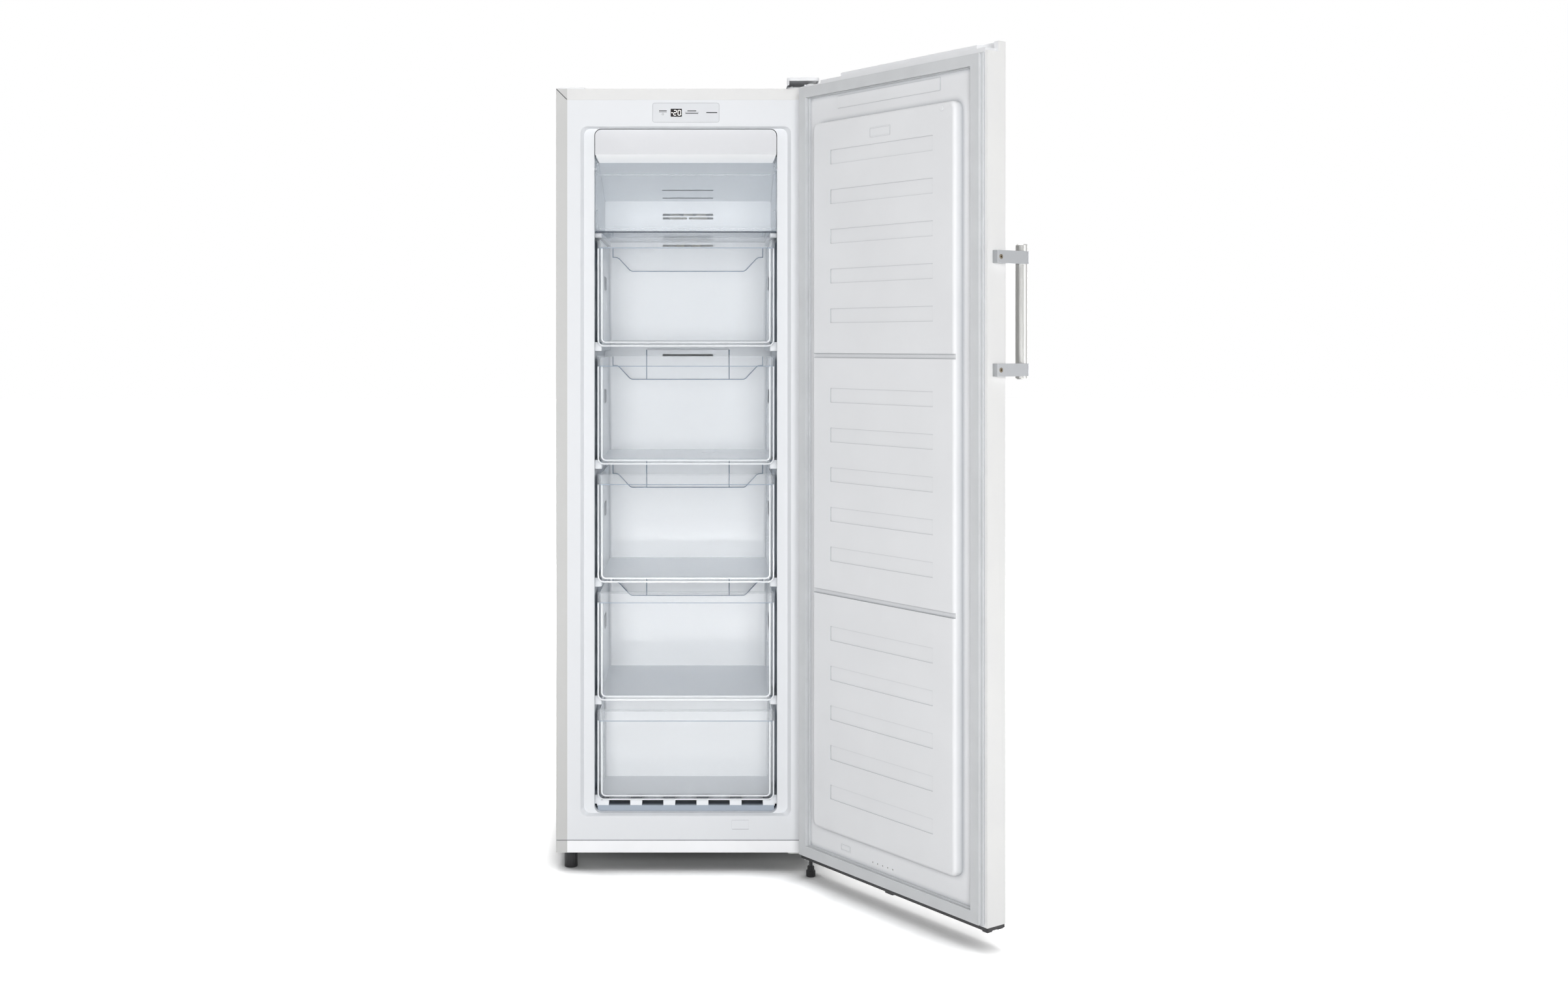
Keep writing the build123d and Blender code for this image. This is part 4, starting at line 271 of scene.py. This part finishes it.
def shade_platform(material):
    """Painted shade on the lining's platform under the drawers: grey-blue at its front, dark behind."""
    tree = material.node_tree
    shader = tree.nodes["Principled BSDF"]
    sheet = shader.inputs["Base Color"].links[0].from_socket
    low = reckoned(tree, "LESS_THAN", own_axis(tree, "Z"), PLATFORM_TOP)
    platform = reckoned(tree, "MULTIPLY", low, within(tree, own_axis(tree, "Y"), PLATFORM_Y))
    inwards = ranged(tree, own_axis(tree, "Y"), [PLATFORM_Y[0] + step for step in PLATFORM_FADE])
    tone = mixed(tree, inwards, *PLATFORM_SHADE_TONES)
    connect(tree, shader, {"Base Color": mixed(tree, platform, sheet, tone)})


def drawn_metal(name, colours, stroke, stretch, relief, roughness):
    """Metal with fine strokes. stretch is their length over their width along each axis."""
    material, tree, shader, place = new_material(name, {"Metallic": 1.0})
    along = add_node(tree, "ShaderNodeMapping", {"Vector": place, "Scale": [1 / s for s in stretch]})[0]
    lines = noise(tree, along, stroke * MM, 4.0)
    gloss = ranged(tree, lines, (0.0, 1.0), roughness)
    bump = add_node(tree, "ShaderNodeBump", {"Height": lines, "Distance": relief * MM})[0]
    connect(tree, shader, {"Base Color": mixed(tree, lines, *colours), "Roughness": gloss, "Normal": bump})
    return material


def spangled(name, colours, crystal, roughness):
    """Hot-dip galvanised sheet: flat zinc crystals, each with its own grey and gloss."""
    material, tree, shader, place = new_material(name, {"Metallic": 1.0})
    cells = add_node(tree, "ShaderNodeTexVoronoi", {"Vector": place, "Scale": 1 / (crystal * MM)})
    shade = add_node(tree, "ShaderNodeSeparateColor", {0: cells["Color"]})
    gloss = ranged(tree, shade[1], (0.0, 1.0), roughness)
    relief = {"Height": shade[2], "Distance": SPANGLE_RELIEF * MM, "Strength": 0.4}
    bump = add_node(tree, "ShaderNodeBump", relief)[0]
    connect(tree, shader, {"Base Color": mixed(tree, shade[0], *colours), "Roughness": gloss, "Normal": bump})
    return material


def clear_plastic(name, colours, through, edge_on, roughness, haze_and_shade_band):
    """Injection-moulded clear polystyrene: seen through face on, cloudy blue where the eye
    skims it, with faint flow lines from the mould. Between two depths along Y, in metres, a
    band holds back more light in its own colour: haze_and_shade_band gives the two depths,
    that share and the colour. On the shelf the band is painted shade."""
    material, tree, shader, place = new_material(name, {"IOR": 1.59})
    start, end, held, band_colour = haze_and_shade_band
    flow = noise(tree, place, FLOW_LINES * MM, 2.0)
    skim = add_node(tree, "ShaderNodeLayerWeight", {"Blend": 0.35})["Facing"]
    veil = ranged(tree, skim, (0.0, 1.0), (through, edge_on))
    veil = reckoned(tree, "MULTIPLY", veil, ranged(tree, flow, (0.0, 1.0), FLOW_SHARES))
    in_band = within(tree, own_axis(tree, "Y"), (start, end))
    colour = mixed(tree, in_band, mixed(tree, skim, *colours), band_colour)
    alpha = reckoned(tree, "MAXIMUM", veil, reckoned(tree, "MULTIPLY", in_band, held))
    gloss = ranged(tree, flow, (0.0, 1.0), roughness)
    connect(tree, shader, {"Base Color": colour, "Alpha": alpha, "Roughness": gloss})
    return material


def blown_foam(name, colours, cell):
    """Cut polyurethane foam: closed cells, darker in their pits."""
    material, tree, shader, place = new_material(name, {"Roughness": 0.95})
    pits = add_node(tree, "ShaderNodeTexVoronoi", {"Vector": place, "Scale": 1 / (cell * MM)})["Distance"]
    bump = add_node(tree, "ShaderNodeBump", {"Height": pits, "Distance": PIT_RELIEF * MM})[0]
    connect(tree, shader, {"Base Color": mixed(tree, pits, *colours), "Normal": bump})
    return material


def circuit_laminate(name, colours, track):
    """Green solder mask with the relief of the copper tracks under it."""
    material, tree, shader, place = new_material(name, {"Roughness": 0.35, "Coat Weight": 0.3})
    paints = dict(zip(("Color1", "Color2", "Mortar"), map(srgb, colours)))
    tracks = add_node(tree, "ShaderNodeTexBrick", {"Vector": place, "Scale": 1 / (track * MM), **paints})
    connect(tree, shader, {"Base Color": tracks[0]})
    return material


def lit_segment(name, colours, strength):
    """Light-emitting segment behind its diffuser, uneven as the diffuser's haze is."""
    material, tree, shader, place = new_material(name, {"Roughness": 0.5, "Emission Strength": strength})
    haze = add_node(tree, "ShaderNodeTexNoise", {"Vector": place, "Scale": 1 / (1.2 * MM)})[0]
    tone = mixed(tree, haze, *colours)
    connect(tree, shader, {"Base Color": tone, "Emission Color": tone})
    return material


# --- Materials ---------------------------------------------------------------------------
# Coil-coated steel: a smooth, slightly glossy white with a trace of orange peel, drawn 4 mm
# wide so that it shows. The flange's side strips are painted greyer than its top one, as shade.
coated_steel = grained(
    "coil_coated_steel", ("D5D5D5", "D9D9D8"), 4.0, 0.02, (0.28, 0.36), values={"IOR": 1.5}
)
# Painted shade on the flange's side strips.
for side in (-1, 1):
    tint_beyond(coated_steel, "X", [side * x for x in SIDE_SHADE_FADE], "BFBFBE")
tint_beyond(coated_steel, "Y", STRIP_DEPTH, "DCDCDB")
# The door's sheet has the same coat, a little whiter: painted light.
door_steel = grained(
    "coil_coated_door", ("E6E6E6", "E9E9E8"), 4.0, 0.02, (0.28, 0.36), values={"IOR": 1.5}
)
# Thermoformed polystyrene: soft white sheet with a satin face and broad unevenness from
# forming. Painted shade darkens its narrow gaps near the front; it is greyer on the flange.
formed_liner = grained(
    "thermoformed_polystyrene", ("E6E9EC", "EAECEF"), 9.0, 0.05, (0.4, 0.5), 140.0,
    gap_shade=(30.0, "243242", (0.5, 0.12), (-150, -95)), values={"Specular IOR Level": 0.25}
)
tint_beyond(formed_liner, "Y", FLANGE_FADE, "E0E2E5")
shade_platform(formed_liner)
# The door's lining is the same sheet, greyer and more matt, with painted shade in its narrow gaps and
# grooves.
door_lining = grained(
    "thermoformed_door_lining", ("E5E6E8", "E9EAEC"), 9.0, 0.04, (0.42, 0.52), 160.0,
    gap_shade=(14.0, "AAADB1", (0.88, 0.48), None)
)
# Injection-moulded ABS: fine spark-eroded texture, drawn 1.5 mm wide, with painted shade in narrow gaps.
moulded_abs = grained(
    "moulded_abs_white", ("F1F2F4", "F5F6F8"), 1.5, 0.015, (0.36, 0.44),
    gap_shade=(6.0, "6E757E", (0.5, 0.12), None)
)
# The header is a little greyer; its lip is painted whiter as light, and painted shade darkens its joints.
header_abs = grained(
    "moulded_abs_header", ("CFD0D3", "D3D4D7"), 1.5, 0.015, (0.36, 0.44),
    gap_shade=(5.0, "3A4048", (0.5, 0.12), None)
)
# Painted light on the header's lip.
tint_beyond(header_abs, "Z", LIP_LIGHT_FADE, "FAFBFC")
# Covers over the hinges and along the door's top, between the two whites.
cover_abs = grained("moulded_abs_cover", ("E2E3E5", "E6E7E9"), 1.5, 0.015, (0.36, 0.44), 40.0)
# Grey rims round the control panel and the blank field: painted shade.
rim_shade_abs = grained("painted_rim_shade", ("AEB0B4", "B6B8BC"), 1.5, 0.008, (0.4, 0.5), 30.0)
# The duct is the whitest moulding; painted shade turns its narrow gaps grey-blue.
duct_abs = grained(
    "moulded_abs_duct", ("F3F5F7", "F6F8FA"), 1.5, 0.015, (0.36, 0.44),
    gap_shade=(8.0, "5C6672", (0.5, 0.12), None)
)
# Stoved white paint on the hinge's plate.
hinge_paint = grained("stoved_hinge_paint", ("D9DADB", "E0E1E2"), 4.0, 0.02, (0.3, 0.4), 20.0)
# The panel's bezel: pale grey, with a smoother face than its surroundings.
bezel_abs = grained("moulded_abs_bezel", ("CFD1D5", "D4D6D9"), 1.5, 0.008, (0.30, 0.36))
# Soft PVC extrusion: duller and a little greyer than the lining beside it.
gasket_pvc = grained("soft_pvc_gasket", ("CBCDCF", "D1D3D5"), 3.0, 0.02, (0.48, 0.6), 60.0)
# Talc-filled polypropylene: deep grey-black with a dry surface.
black_plastic = grained("moulded_polypropylene_black", ("161617", "1E1E20"), 1.2, 0.03, (0.42, 0.55), 30.0)
# Unfilled nylon: ivory and slightly waxy.
nylon = grained("turned_nylon", ("E6E4DC", "DAD8CF"), 1.5, 0.02, (0.4, 0.5), 20.0)
# Moulded rubber: black and dull.
rubber = grained("moulded_rubber", ("1B1B1B", "262626"), 1.5, 0.05, (0.7, 0.85), 25.0)
# Stove enamel on the compressor's shell: gloss black with orange peel.
shell_paint = grained(
    "stoved_black_paint", ("0E0E0F", "161618"), 5.0, 0.06, (0.22, 0.34), 50.0, values={"Coat Weight": 0.4}
)
# Smoked acrylic: nearly black with a mirror-smooth face.
smoked_window = grained(
    "smoked_acrylic", ("0B0708", "140C0C"), 6.0, 0.005, (0.06, 0.1), 15.0, values={"IOR": 1.49}
)
# Screen printing ink, and the black of narrow joints.
printed_black = grained("screen_print_black", ("232427", "303236"), 0.8, 0.004, (0.5, 0.6), 12.0)
# Hot-dip galvanised sheet: light grey flakes about 12 mm wide.
galvanised = spangled("galvanised_steel", ("9DA2A6", "AAAFB3"), 12.0, (0.38, 0.48))
# Stainless tube brushed lengthways; the strokes are drawn 0.8 mm wide.
brushed_steel = drawn_metal("brushed_stainless", ("ABABA9", "C4C4C2"), 0.8, (1, 1, 60), 0.01, (0.24, 0.36))
# Satin-chromed zinc casting: lighter than the bar, with a very fine blasted grain.
satin_casting = drawn_metal("satin_chromed_casting", ("A3A5A8", "B2B4B7"), 1.2, (1, 1, 1), 0.01, (0.3, 0.38))
# Zinc plate, passivated screws, rolled fins, drawn copper and the heater's sheath.
zinc_plate = drawn_metal("zinc_plated_steel", ("A7A9A8", "C3C5C2"), 2.5, (1, 1, 1), 0.01, (0.22, 0.36))
screw_steel = drawn_metal("passivated_screw", ("6E6557", "8E8576"), 1.0, (1, 1, 1), 0.02, (0.3, 0.45))
fin_aluminium = drawn_metal("rolled_aluminium", ("C5C8CA", "DADCDD"), 1.5, (1, 30, 1), 0.01, (0.25, 0.4))
copper = drawn_metal("drawn_copper", ("A5623F", "C98358"), 3.0, (1, 1, 8), 0.01, (0.25, 0.4))
heater_sheath = drawn_metal("heater_sheath", ("6F7173", "8A8C8E"), 2.0, (8, 1, 1), 0.01, (0.35, 0.5))
# Straw-coloured foam with small cells, and the circuit board's green laminate.
foam = blown_foam("polyurethane_foam", ("C9B27A", "E4D3A2"), 2.5)
laminate = circuit_laminate("circuit_laminate", ("1F5A34", "1A4C2C", "2F7A48"), 6.0)
# The tubs' moulded beads and the pull lips' lower edges are painted dark: painted shade for
# the dark that thick clear plastic shows, darker round the openings in the sides. The duct's
# joints share this dark grey.
edge_shade_and_joints = grained("painted_edge_shade_and_joints", ("7F8D9E", "95A3B3"), 3.0, 0.005, (0.15, 0.22), 30.0)
cut_edge_shade = grained("painted_cut_edge_shade", ("3C444D", "485059"), 3.0, 0.005, (0.3, 0.4), 30.0)
# Warm white light-emitting segments behind the window.
segment_light = lit_segment("display_segment", ("F6F1EC", "FFFFFF"), 0.75)
# The fronts' raised borders, the tubs' rear walls and the flap's borders are cloudy, and the
# shelf's front edge is painted dark: painted shade of the gap before it.
clear_front = clear_plastic(
    "clear_polystyrene_front", ("F4F7FA", "F4F8FC"), 0.03, 0.45, (0.06, 0.12),
    (-0.2314, -0.2302, 0.75, "F6F9FC")
)
clear_tub = clear_plastic(
    "clear_polystyrene_tub", ("F3F6F9", "EAEFF4"), 0.03, 1.0, (0.08, 0.14),
    (0.1005, 0.1035, 0.88, "FAFCFE")
)
short_tub = clear_plastic(
    "clear_polystyrene_short_tub", ("F3F6F9", "F5F7FA"), 0.03, 1.0, (0.08, 0.14),
    (-0.0775, -0.0745, 0.88, "FAFCFE")
)
# Painted shade: a dark band on the shelf's front edge.
clear_shelf = clear_plastic(
    "clear_polystyrene_shelf", ("F3F6F9", "CFD8E1"), 0.03, 0.75, (0.08, 0.14),
    (-0.2305, -0.2288, 0.92, "2E3A48")
)
clear_flap = clear_plastic(
    "clear_polystyrene_flap", ("E0E8F0", "EEF4FA"), 0.11, 0.85, (0.08, 0.14),
    (-0.2352, -0.2325, 0.3, "F2F6FA")
)

NODE_FINISH = {
    "outer_wrapper": coated_steel,
    "back_panel": galvanised,
    "bottom_panel": galvanised,
    "toe_strip": moulded_abs,
    "inner_liner": formed_liner,
    "insulation_foam": foam,
    "condenser_coil": copper,
    "duct_cover": duct_abs,
    "header_panel": header_abs,
    "top_shelf": clear_shelf,
    "evaporator": fin_aluminium,
    "defrost_heater": heater_sheath,
    "fan_motor": black_plastic,
    "fan_blade": nylon,
    "compressor_tray": galvanised,
    "roller_axles": zinc_plate,
    "roller_right": nylon,
    "roller_left": nylon,
    "compressor": shell_paint,
    "compressor_grommets": rubber,
    "compressor_bolts": zinc_plate,
    "relay_box": black_plastic,
    "drip_tray": black_plastic,
    "filter_drier": copper,
    "refrigerant_pipes": copper,
    "drain_hose": rubber,
    "rear_cover": galvanised,
    "cord_gland": rubber,
    "control_bezel": bezel_abs,
    "display_window": smoked_window,
    "control_board": laminate,
    "hinge_top_plate": hinge_paint,
    "hinge_bottom_bracket": zinc_plate,
    "hinge_pins": zinc_plate,
    "hinge_screws": zinc_plate,
    "hinge_top_cover": cover_abs,
    "hinge_blank_cap": cover_abs,
    "foot_left": black_plastic,
    "foot_right": black_plastic,
    "flap": clear_flap,
    "door_skin": door_steel,
    "door_foam": foam,
    "door_liner": door_lining,
    "door_gasket": gasket_pvc,
    "door_cap_top": cover_abs,
    "door_cap_bottom": black_plastic,
    "door_bushes": nylon,
    "handle_bar": brushed_steel,
    "handle_arms": satin_casting,
    "handle_screws": screw_steel,
    **{f"drawer_{index}_front": clear_front for index in range(1, 6)},
    **{f"drawer_{index}_tub": clear_tub for index in range(1, 5)},
    "drawer_5_tub": short_tub,
}


def dress_nodes():
    """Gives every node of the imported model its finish."""
    for name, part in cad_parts.items():
        for slot in part.material_slots:
            slot.material = NODE_FINISH[name]


# --- Shapes of pieces --------------------------------------------------------------------
def link(name, data):
    """Adds an object to the scene."""
    made = bpy.data.objects.new(name, data)
    bpy.context.scene.collection.objects.link(made)
    return made


def add_piece(name, shape, finish, body):
    """Turns a bmesh drawn in place, in millimetres, into a piece that rides on a body."""
    bmesh.ops.recalc_face_normals(shape, faces=shape.faces)
    bmesh.ops.scale(shape, vec=(MM, MM, MM), verts=shape.verts)
    mesh = bpy.data.meshes.new(name)
    shape.to_mesh(mesh)
    shape.free()
    mesh.materials.append(finish)
    piece = link(name, mesh)
    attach(piece, body)
    return piece


def slab(shape, x, z, y, round_by):
    """A flat bar between limits along X, Z and Y, the corners of its outline rounded."""
    made = bmesh.ops.create_cube(shape, size=1.0)["verts"]
    bmesh.ops.scale(shape, vec=(x[1] - x[0], y[1] - y[0], z[1] - z[0]), verts=made)
    bmesh.ops.translate(shape, vec=(sum(x) / 2, sum(y) / 2, sum(z) / 2), verts=made)
    before = {vert for vert in shape.verts if vert not in made}
    along = {edge for vert in made for edge in vert.link_edges if edge_runs_in(edge)}
    bmesh.ops.bevel(
        shape, geom=list(along), offset=round_by, segments=3, affect="EDGES", profile=0.5, material=-1
    )
    return [vert for vert in shape.verts if vert not in before]


def edge_runs_in(edge):
    """Whether an edge runs along Y."""
    start, end = (vert.co for vert in edge.verts)
    return abs((start - end).y) > 0.9 * (start - end).length


def bead_along(shape, places, radius):
    """Round bead through places in an upright plane, with a ball at each of its bends."""
    for place in places:
        ball = bmesh.ops.create_uvsphere(shape, u_segments=12, v_segments=8, radius=radius)["verts"]
        bmesh.ops.translate(shape, vec=place, verts=ball)
    for start, end in zip(places, places[1:]):
        run = end - start
        bar = bmesh.ops.create_cone(
            shape, cap_ends=True, segments=12, radius1=radius, radius2=radius, depth=run.length
        )["verts"]
        turn = run.to_track_quat("Z", "Y").to_matrix()
        bmesh.ops.rotate(shape, cent=(0, 0, 0), matrix=turn, verts=bar)
        bmesh.ops.translate(shape, vec=(start + end) / 2, verts=bar)


# --- Control panel -----------------------------------------------------------------------
def light_digits():
    """The figures behind the window: a minus sign, a two and a nought, each of seven bars."""
    shape = bmesh.new()
    low, high = DIGIT_Z
    middle = (low + high) / 2
    half = DIGIT_STROKE / 2
    slab(shape, MINUS_X, (middle - half, middle + half), DIGIT_Y, DIGIT_ROUND)
    for left, shown in zip(DIGIT_X, DIGIT_SHAPES):
        right = left + DIGIT_WIDTH
        level = {"a": high, "g": middle, "d": low}
        stand = {"f": (left, 1), "b": (right, 1), "e": (left, 0), "c": (right, 0)}
        for bar in shown:
            if bar in level:
                z = level[bar]
                x = (left + half + DIGIT_GAP, right - half - DIGIT_GAP)
                slab(shape, x, (z - half, z + half), DIGIT_Y, DIGIT_ROUND)
            else:
                x, upper = stand[bar]
                z = (middle, high) if upper else (low, middle)
                z = (z[0] + DIGIT_GAP, z[1] - DIGIT_GAP)
                slab(shape, (x - half, x + half), z, DIGIT_Y, DIGIT_ROUND)
    add_piece("display_digits", shape, segment_light, "cabinet")


def print_panel_marks():
    """Plain printed bars and a ring beside the window."""
    shape = bmesh.new()
    for x, z, high in PANEL_BARS:
        slab(shape, x, (z - high / 2, z + high / 2), PRINT_Y, high * BAR_ROUND)
    ring = bmesh.ops.create_circle(shape, segments=32, radius=KEY_RING[2])["verts"]
    bmesh.ops.rotate(shape, cent=(0, 0, 0), matrix=TO_Y, verts=ring)
    bmesh.ops.translate(shape, vec=(KEY_RING[0], PRINT_Y[1], KEY_RING[1]), verts=ring)
    around = list({edge for vert in ring for edge in vert.link_edges})
    rim = bmesh.ops.extrude_edge_only(shape, edges=around)["geom"]
    outer = [item for item in rim if isinstance(item, bmesh.types.BMVert)]
    middle = Matrix.Translation((-KEY_RING[0], -PRINT_Y[1], -KEY_RING[1]))
    bmesh.ops.scale(shape, vec=[KEY_RING_OUT] * 3, space=middle, verts=outer)
    band = [face for face in shape.faces if set(face.verts) <= set(ring) | set(outer)]
    raised = bmesh.ops.extrude_face_region(shape, geom=band)["geom"]
    front = [item for item in raised if isinstance(item, bmesh.types.BMVert)]
    bmesh.ops.translate(shape, vec=(0, PRINT_Y[0] - PRINT_Y[1], 0), verts=front)
    add_piece("panel_marks", shape, printed_black, "cabinet")


def outline_panel():
    """A grey slab just larger than the bezel: painted shade that outlines the control panel."""
    shape = bmesh.new()
    slab(shape, *PANEL_EDGE)
    add_piece("panel_shade_outline", shape, rim_shade_abs, "cabinet")


# --- Drawers and duct --------------------------------------------------------------------
def edge_the_tubs():
    """Beads round the cuts in the rear walls of the four deep tubs, dark with painted shade."""
    for index in range(4):
        shape = bmesh.new()
        top = TUB_TOP - TUB_PITCH * index
        right = [Vector((x, REAR_FACE, top + z)) for x, z in CUT_PATH]
        left = [Vector((-place.x, place.y, place.z)) for place in reversed(right[:-1])]
        bead_along(shape, right + left, BEAD_R)
        add_piece(f"rear_bead_{index + 1}", shape, edge_shade_and_joints, f"drawer_{index + 1}")


def line_the_grips():
    """The thick lower edge of each pull lip, painted dark as shade, like all edges of the clear plastic."""
    for index in range(5):
        shape = bmesh.new()
        top = DRAWER_TOP - TUB_PITCH * index
        slab(shape, GRIP_LINE_X, [top + z for z in GRIP_LINE_Z], GRIP_LINE_Y, THIN_ROUND)
        add_piece(f"grip_edge_{index + 1}", shape, edge_shade_and_joints, f"drawer_{index + 1}")


def rim_the_sides():
    """Beads round the finger openings in the sides of the four deep tubs, dark with painted shade."""
    for index in range(4):
        shape = bmesh.new()
        top = DRAWER_TOP - TUB_PITCH * index
        low, high = (top + z for z in SIDE_CUT_Z)
        front, back = SIDE_CUT_Y
        for side in (-1, 1):
            ring = [(front, low), (front, high), (back, high), (back, low), (front, low)]
            bead_along(shape, [Vector((side * SIDE_CUT_X, y, z)) for y, z in ring], BEAD_R)
        add_piece(f"side_bead_{index + 1}", shape, cut_edge_shade, f"drawer_{index + 1}")


def line_the_duct():
    """White lips on the duct's upright edges, and the joints beside them."""
    lips, joints = bmesh.new(), bmesh.new()
    for side in (-1, 1):
        slab(lips, sorted(side * x for x in DUCT_EDGE_X), DUCT_EDGE_Z, DUCT_EDGE_Y, DUCT_EDGE_ROUND)
        slab(joints, sorted(side * x for x in DUCT_LINE_X), DUCT_EDGE_Z, DUCT_LINE_Y, THIN_ROUND)
    add_piece("duct_lips", lips, duct_abs, "cabinet")
    add_piece("duct_joints", joints, edge_shade_and_joints, "cabinet")


# --- Flange round the opening ------------------------------------------------------------
def line_the_mitres():
    """The dark joints where the flange's sides meet its top at 45 degrees."""
    shape = bmesh.new()
    x, z, length, width = MITRE
    for side in (-1, 1):
        made = slab(shape, (-length / 2, length / 2), (-width / 2, width / 2), MITRE_Y, width * BAR_ROUND)
        turn = Matrix.Rotation(math.radians(-45 * side), 3, "Y")
        bmesh.ops.rotate(shape, cent=(0, 0, 0), matrix=turn, verts=made)
        bmesh.ops.translate(shape, vec=(side * x, 0, z), verts=made)
    add_piece("mitre_joints", shape, printed_black, "cabinet")


def line_the_toe():
    """The dark joint over the toe strip."""
    shape = bmesh.new()
    slab(shape, *TOE_JOINT, THIN_ROUND)
    add_piece("toe_joint", shape, printed_black, "cabinet")


def frame_the_field():
    """The blank moulded field low on the lining's flange: a rim of painted shade, and its face."""
    rim, face = bmesh.new(), bmesh.new()
    slab(rim, FIELD_X, FIELD_Z, FIELD_RIM_Y, FIELD_ROUND[0])
    inner = [[low + FIELD_RIM, high - FIELD_RIM] for low, high in (FIELD_X, FIELD_Z)]
    slab(face, *inner, FIELD_FACE_Y, FIELD_ROUND[1])
    add_piece("field_rim", rim, rim_shade_abs, "cabinet")
    add_piece("field_face", face, formed_liner, "cabinet")


# --- Back --------------------------------------------------------------------------------
def fasten_back():
    """Pan-head screws round the back panel and the louvred cover."""
    shape = bmesh.new()
    for x, z in [(side * x, z) for side in (-1, 1) for x, z in BACK_SCREWS]:
        sizes = {"radius1": SCREW_HEAD[0], "radius2": SCREW_HEAD[0], "depth": SCREW_HEAD[1]}
        head = bmesh.ops.create_cone(shape, cap_ends=True, segments=24, **sizes)["verts"]
        bmesh.ops.rotate(shape, cent=(0, 0, 0), matrix=TO_Y, verts=head)
        bmesh.ops.translate(shape, vec=(x, BACK_FACE + SCREW_HEAD[1] / 2, z), verts=head)
        faces = {face for vert in head for face in vert.link_faces}
        cap = max(faces, key=lambda face: face.calc_center_median().y)
        soften = {"offset": SCREW_ROUND, "segments": 3, "affect": "EDGES", "profile": 0.5, "material": -1}
        bmesh.ops.bevel(shape, geom=list(cap.edges), **soften)
    add_piece("back_screws", shape, zinc_plate, "cabinet")


# --- Camera, floor and light -------------------------------------------------------------
def set_camera():
    """The photograph's camera."""
    lens = bpy.data.cameras.new("camera")
    lens.sensor_width = SENSOR_MM
    lens.lens = SENSOR_MM * FOCAL_PX / PHOTO_PX[0]
    lens.shift_x = 0.5 - AXIS_PX[0] / PHOTO_PX[0]
    lens.shift_y = (AXIS_PX[1] - PHOTO_PX[1] / 2) / PHOTO_PX[0]
    camera = link("camera", lens)
    camera.location = CAMERA_PLACE
    camera.rotation_euler = (math.radians(90), 0, 0)
    bpy.context.scene.camera = camera


def lay_floor():
    """White paper floor: for the lens it burns out to white, and it keeps the shadows."""
    sheet = bmesh.new()
    bmesh.ops.create_grid(sheet, x_segments=1, y_segments=1, size=FLOOR_SIZE / 2)
    mesh = bpy.data.meshes.new("floor")
    sheet.to_mesh(mesh)
    sheet.free()
    material, tree, shader, place = new_material("white_paper", {"Roughness": 1.0, "Specular IOR Level": 0.0})
    pulp = add_node(tree, "ShaderNodeTexNoise", {"Vector": place, "Scale": 40.0})[0]
    shade = ranged(tree, pulp, (0.0, 1.0), (0.99, 1.01))
    level = ranged(tree, seen_directly(tree), (0.0, 1.0), (FLOOR_BOUNCE, FLOOR_SEEN))
    reach, closed, free, kept = FLOOR_CONTACT
    open_share = add_node(tree, "ShaderNodeAmbientOcclusion", {"Distance": reach}, samples=12)["AO"]
    contact = ranged(tree, open_share, (closed, free), (kept, 1.0))
    white = reckoned(tree, "MULTIPLY", level, reckoned(tree, "MULTIPLY", shade, contact))
    away = add_node(tree, "ShaderNodeVectorMath", {0: place}, operation="LENGTH")["Value"]
    glow = reckoned(tree, "MULTIPLY", ranged(tree, away, FLOOR_FADE), seen_directly(tree))
    burnt_out = {"Emission Color": [1, 1, 1, 1], "Emission Strength": glow}
    connect(tree, shader, {"Base Color": white, **burnt_out})
    mesh.materials.append(material)
    link("floor", mesh)


def light_studio():
    """White world for the lens alone, area lamps, and the render's own settings."""
    world = bpy.data.worlds.new("studio")
    world.use_nodes = True
    bpy.context.scene.world = world
    tree = world.node_tree
    level = ranged(tree, seen_directly(tree), (0.0, 1.0), (SKY_LIGHT, 1.0))
    connect(tree, tree.nodes["Background"], {"Color": [1, 1, 1, 1], "Strength": level})
    for name, place, aim, size, watts in LAMPS:
        lamp = bpy.data.lights.new(name, "AREA")
        lamp.shape = "RECTANGLE"
        lamp.size, lamp.size_y = size
        lamp.energy = watts
        holder = link(name, lamp)
        holder.location = place
        holder.visible_glossy = name not in HIDDEN_LAMPS
        holder.rotation_euler = (Vector(aim) - Vector(place)).to_track_quat("-Z", "Y").to_euler()
    bpy.context.scene.view_settings.view_transform = "Standard"
    bpy.context.scene.cycles.transparent_max_bounces = CLEAR_LAYERS
    bpy.context.scene.cycles.diffuse_bounces = CAVITY_BOUNCES


set_camera()
lay_floor()
light_studio()
dress_nodes()
light_digits()
print_panel_marks()
outline_panel()
edge_the_tubs()
line_the_grips()
line_the_duct()
rim_the_sides()
frame_the_field()
line_the_toe()
line_the_mitres()
fasten_back()
